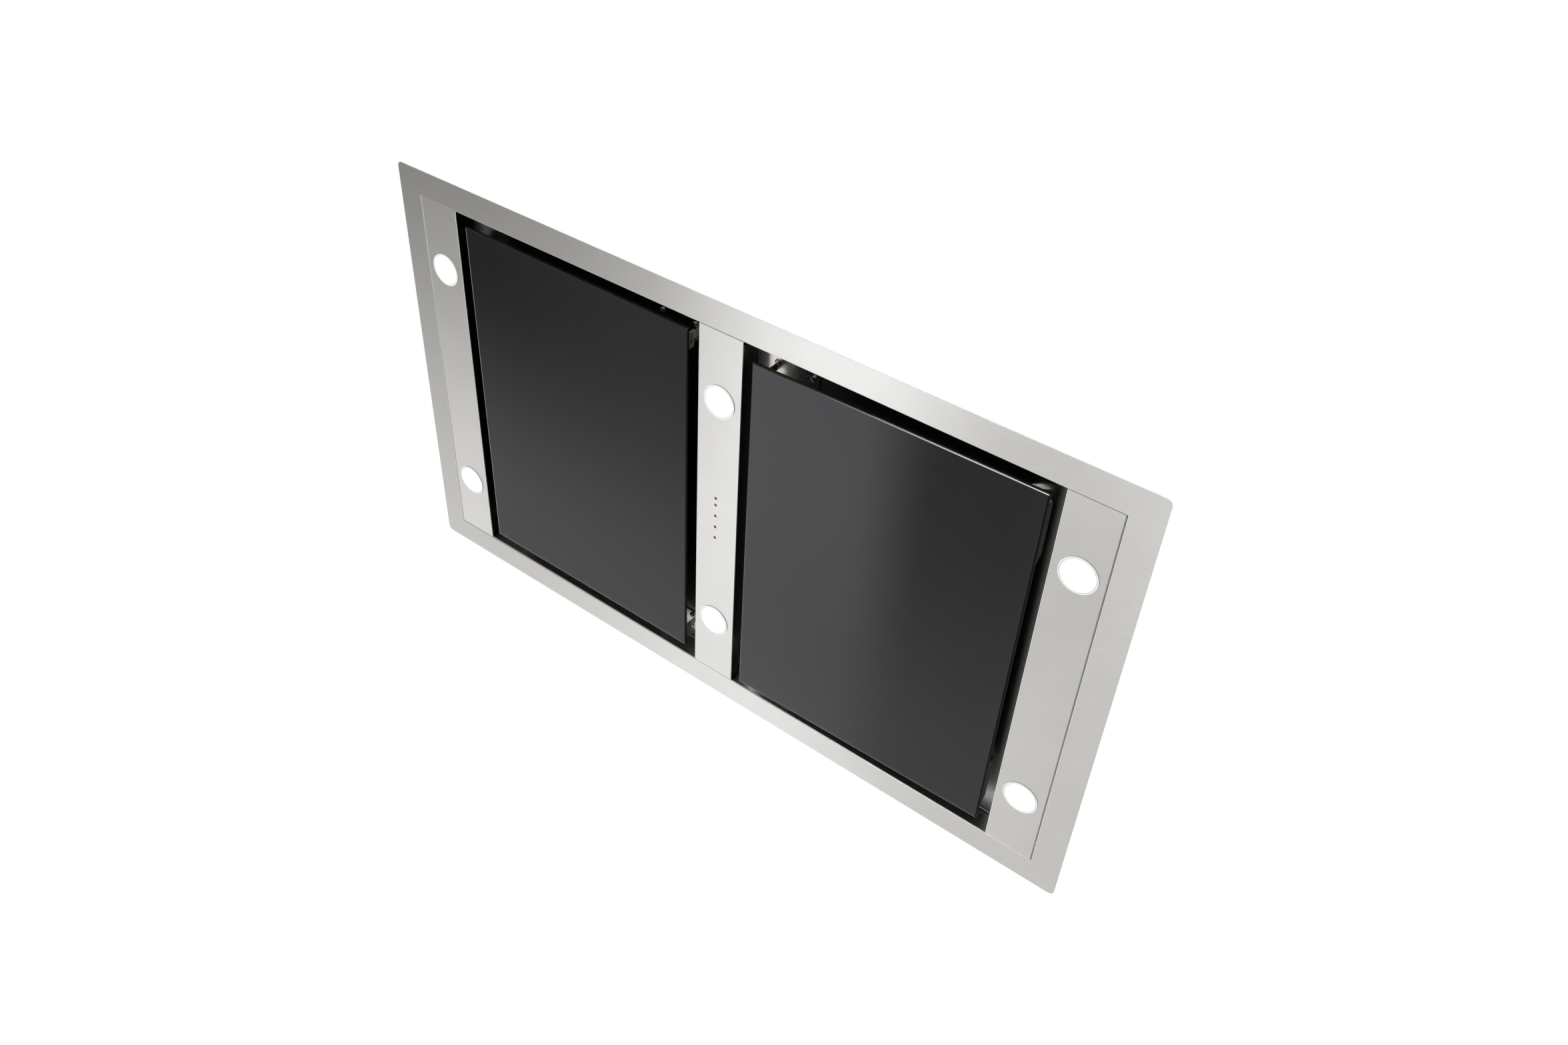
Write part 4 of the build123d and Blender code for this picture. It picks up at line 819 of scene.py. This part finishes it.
def set_of_screws(name, screw, spots, pointing):
    """Copies of one screw at every spot, each turned a little further, joined to one piece. The spots are
    where the heads seat; pointing is 1 for heads that look up and -1 for heads that look down."""
    copies = []
    flip = Matrix.Rotation(0.0 if pointing > 0 else math.pi, 4, "X")
    for number, spot in enumerate(spots):
        turn = Matrix.Rotation(math.radians(turn_each * number), 4, "Z")
        mesh = screw.data.copy()
        mesh.transform(Matrix.Translation(spot) @ flip @ turn)
        copy = bpy.data.objects.new(name, mesh)
        scene.collection.objects.link(copy)
        copies.append(copy)
    bpy.ops.object.select_all(action="DESELECT")
    for copy in copies:
        copy.select_set(True)
    bpy.context.view_layer.objects.active = copies[0]
    bpy.ops.object.join()
    bpy.data.objects.remove(screw)
    copies[0].name = name
    copies[0].data.materials.append(zinc_plate)
    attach(copies[0], "hood_body")
    return copies[0]


low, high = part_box("pan_head_screws")
plate_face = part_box("left_catches")[1].z - catch_sheet
tips = []
for vertex in nodes["pan_head_screws"].data.vertices:
    if vertex.co.z > high.z - flush:
        near = [tip for tip in tips if (tip[0].xy - vertex.co.xy).length < tip_reach]
        if near:
            near[0].append(vertex.co.copy())
        else:
            tips.append([vertex.co.copy()])
spots = []
for tip in tips:
    across = [min(point.x for point in tip), max(point.x for point in tip)]
    along = [min(point.y for point in tip), max(point.y for point in tip)]
    spots.append(Vector((sum(across) / 2, sum(along) / 2, plate_face)))
screw = cross_screw("catch_screw", catch_head_radius, plate_face - low.z, catch_shank_radius,
                    high.z - plate_face)
catch_screws = set_of_screws("catch_screws", screw, spots, -1)
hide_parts("pan_head_screws")

# ------------------------------------------------------------------ grease filters
# Aluminium frames with a pleated panel of expanded foil, whose small diamond holes let the light through.
# The latch that holds each filter is black moulded plastic.
diamond_length = 0.006
diamond_width = 0.0036
strand = 0.17
foil_color = (0.76, 0.77, 0.78)
filter_aluminium = plain_finish("filter_aluminium", (0.74, 0.75, 0.76), 0.35, metallic=1.0, edge=0.0008)
black_plastic = plain_finish("black_plastic", (0.02, 0.02, 0.021), 0.45, depth=0.00003, wear=0.8)

expanded_foil, tree, output = empty_material("expanded_foil")
place = parts_of(tree, place_on(tree))
across = combine(tree, "MULTIPLY", place["X"], 1 / diamond_width)
along = combine(tree, "MULTIPLY", place["Y"], 1 / diamond_length)
lines = []
for operation in ("ADD", "SUBTRACT"):
    phase = combine(tree, "FRACT", combine(tree, operation, across, along), 0.0)
    lines.append(combine(tree, "ABSOLUTE", combine(tree, "SUBTRACT", phase, 0.5), 0.0))
nearest = combine(tree, "MINIMUM", lines[0], lines[1])
fine = noise(tree, place_on(tree), 260.0, 3.0)
relief = add_node(tree, "ShaderNodeBump", {"Strength": 1.0, "Distance": 0.0004, "Height": nearest})
cover(tree, output, {
    "Metallic": 1.0, "Base Color": tinted(tree, foil_color, by_noise(tree, fine, 0.85, 1.05)),
    "Roughness": by_noise(tree, fine, 0.22, 0.4), "Alpha": combine(tree, "LESS_THAN", nearest, strand),
    "Normal": relief.outputs[0]})
for side in ("left", "right"):
    dress(filter_aluminium, f"{side}_filter_frame")
    dress(expanded_foil, f"{side}_filter_mesh")
    dress(black_plastic, f"{side}_filter_latch")

# ------------------------------------------------------------------ housing
# Folded galvanised sheet: its zinc has frozen in crystals of slightly different brightness. The lid is
# held by cross-recess screws into the housing's lip, as are the duct collar and the hanging brackets.
zinc_color = (0.62, 0.635, 0.645)
crystal_scale = 105.0
crystal_wander = (0.006, 0.006, 0.006)
sheet_edge = 0.0008
lid_screw_inset = 0.009
lid_screws_long = 7
lid_screws_short = 4
collar_screw_radius = 0.0825
collar_screw_start = 30.0
collar_screws = 6
sheet = 0.0012
bracket_sheet = 0.0025
bracket_screw_inset = 0.010


def spangle_group():
    """Node group: zinc crystals with wandering borders, each with its own shade."""
    group = bpy.data.node_groups.new("spangle", "ShaderNodeTree")
    group.interface.new_socket("Scale", in_out="INPUT", socket_type="NodeSocketFloat")
    group.interface.new_socket("Shade", in_out="OUTPUT", socket_type="NodeSocketFloat")
    start = add_node(group, "NodeGroupInput")
    place = place_on(group)
    wander = add_node(group, "ShaderNodeTexNoise", {"Vector": place, "Scale": 60.0, "Detail": 2.0})
    shift = add_node(group, "ShaderNodeVectorMath", {0: wander.outputs["Color"], 1: crystal_wander},
                     operation="MULTIPLY")
    bent = add_node(group, "ShaderNodeVectorMath", {0: place, 1: shift.outputs[0]}, operation="ADD")
    crystals = add_node(group, "ShaderNodeTexVoronoi", {
        "Vector": bent.outputs[0], "Scale": start.outputs["Scale"]})
    shade = add_node(group, "ShaderNodeSeparateColor", {"Color": crystals.outputs["Color"]})
    add_node(group, "NodeGroupOutput", {"Shade": shade.outputs["Red"]})
    return group


galvanised, tree, output = empty_material("galvanised_sheet")
crystals = add_node(tree, "ShaderNodeGroup", node_tree=spangle_group())
crystals.inputs["Scale"].default_value = crystal_scale
shade = crystals.outputs["Shade"]
haze = noise(tree, place_on(tree), 7.0, 4.0)
worn, rounded = worn_edges(tree, sheet_edge)
tone = combine(tree, "MULTIPLY", by_mask(tree, shade, 0.90, 1.05), by_noise(tree, haze, 0.92, 1.04),
               by_mask(tree, worn, 1.0, 1.12))
relief = add_node(tree, "ShaderNodeBump", {
    "Strength": 1.0, "Distance": 0.00001, "Height": shade, "Normal": rounded})
cover(tree, output, {
    "Metallic": 1.0, "Base Color": tinted(tree, zinc_color, tone),
    "Roughness": by_mask(tree, shade, 0.35, 0.47), "Normal": relief.outputs[0]})
brackets = [f"suspension_bracket_{row}_{side}" for row in ("front", "rear") for side in ("left", "right")]
dress(galvanised, "housing_shell", "housing_lid", "outlet_collar", "blower_scroll", "motor_mount",
      *brackets)

lid_top = shell_high.z + sheet
reach_x = shell_high.x - lid_screw_inset
reach_y = shell_high.y - lid_screw_inset
spots = []
for number in range(lid_screws_long):
    x = reach_x * (2 * number / (lid_screws_long - 1) - 1)
    spots += [Vector((x, way * reach_y, lid_top)) for way in (-1, 1)]
for number in range(1, lid_screws_short - 1):
    y = reach_y * (2 * number / (lid_screws_short - 1) - 1)
    spots += [Vector((way * reach_x, y, lid_top)) for way in (-1, 1)]
for number in range(collar_screws):
    angle = math.radians(collar_screw_start + 360.0 * number / collar_screws)
    spots.append(Vector((collar_screw_radius * math.cos(angle), collar_screw_radius * math.sin(angle),
                         lid_top + sheet)))
for bracket in brackets:
    low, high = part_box(bracket)
    for x in (low.x + bracket_screw_inset, high.x - bracket_screw_inset):
        for y in (low.y + bracket_screw_inset, high.y - bracket_screw_inset):
            spots.append(Vector((x, y, low.z + bracket_sheet)))
screw = cross_screw("lid_screw", radius=0.0038, height=0.0024, shank_radius=0.0019, shank_length=0.006)
set_of_screws("lid_screws", screw, spots, 1)

# ------------------------------------------------------------------ outlet, flaps and blower
# Two pressed aluminium flaps close the duct collar when the blower stops. The wheel is galvanised, and
# its motor is painted black.
mill_aluminium = plain_finish("mill_aluminium", (0.80, 0.80, 0.80), 0.33, metallic=1.0, edge=0.0003)
dress(mill_aluminium, "damper_flap_front", "damper_flap_rear")
dress(zinc_plate, "damper_pins", "motor_shaft")
wheel_steel = plain_finish("wheel_steel", (0.62, 0.63, 0.64), 0.35, metallic=1.0)
dress(wheel_steel, "blower_impeller")
motor_paint = plain_finish("motor_paint", (0.05, 0.05, 0.055), 0.4, wear=0.5, edge=0.0015)
dress(motor_paint, "blower_motor")

# ------------------------------------------------------------------ electrical parts
# A grey moulded control box with a screwed cover and a black cable gland stands on the lid, and a white
# lamp driver hangs inside.
grey_plastic = plain_finish("grey_plastic", (0.30, 0.31, 0.32), 0.5, grain_scale=1400.0, depth=0.00004,
                            wear=0.2, edge=0.0012)
dress(grey_plastic, "control_box")
dress(black_plastic, "cable_gland")
white_plastic = plain_finish("white_plastic", (0.78, 0.78, 0.76), 0.4, wear=0.05)
dress(white_plastic, "lamp_driver")

# ------------------------------------------------------------------ size of the finished hood
# The box of the finished hood is found.
low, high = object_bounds()
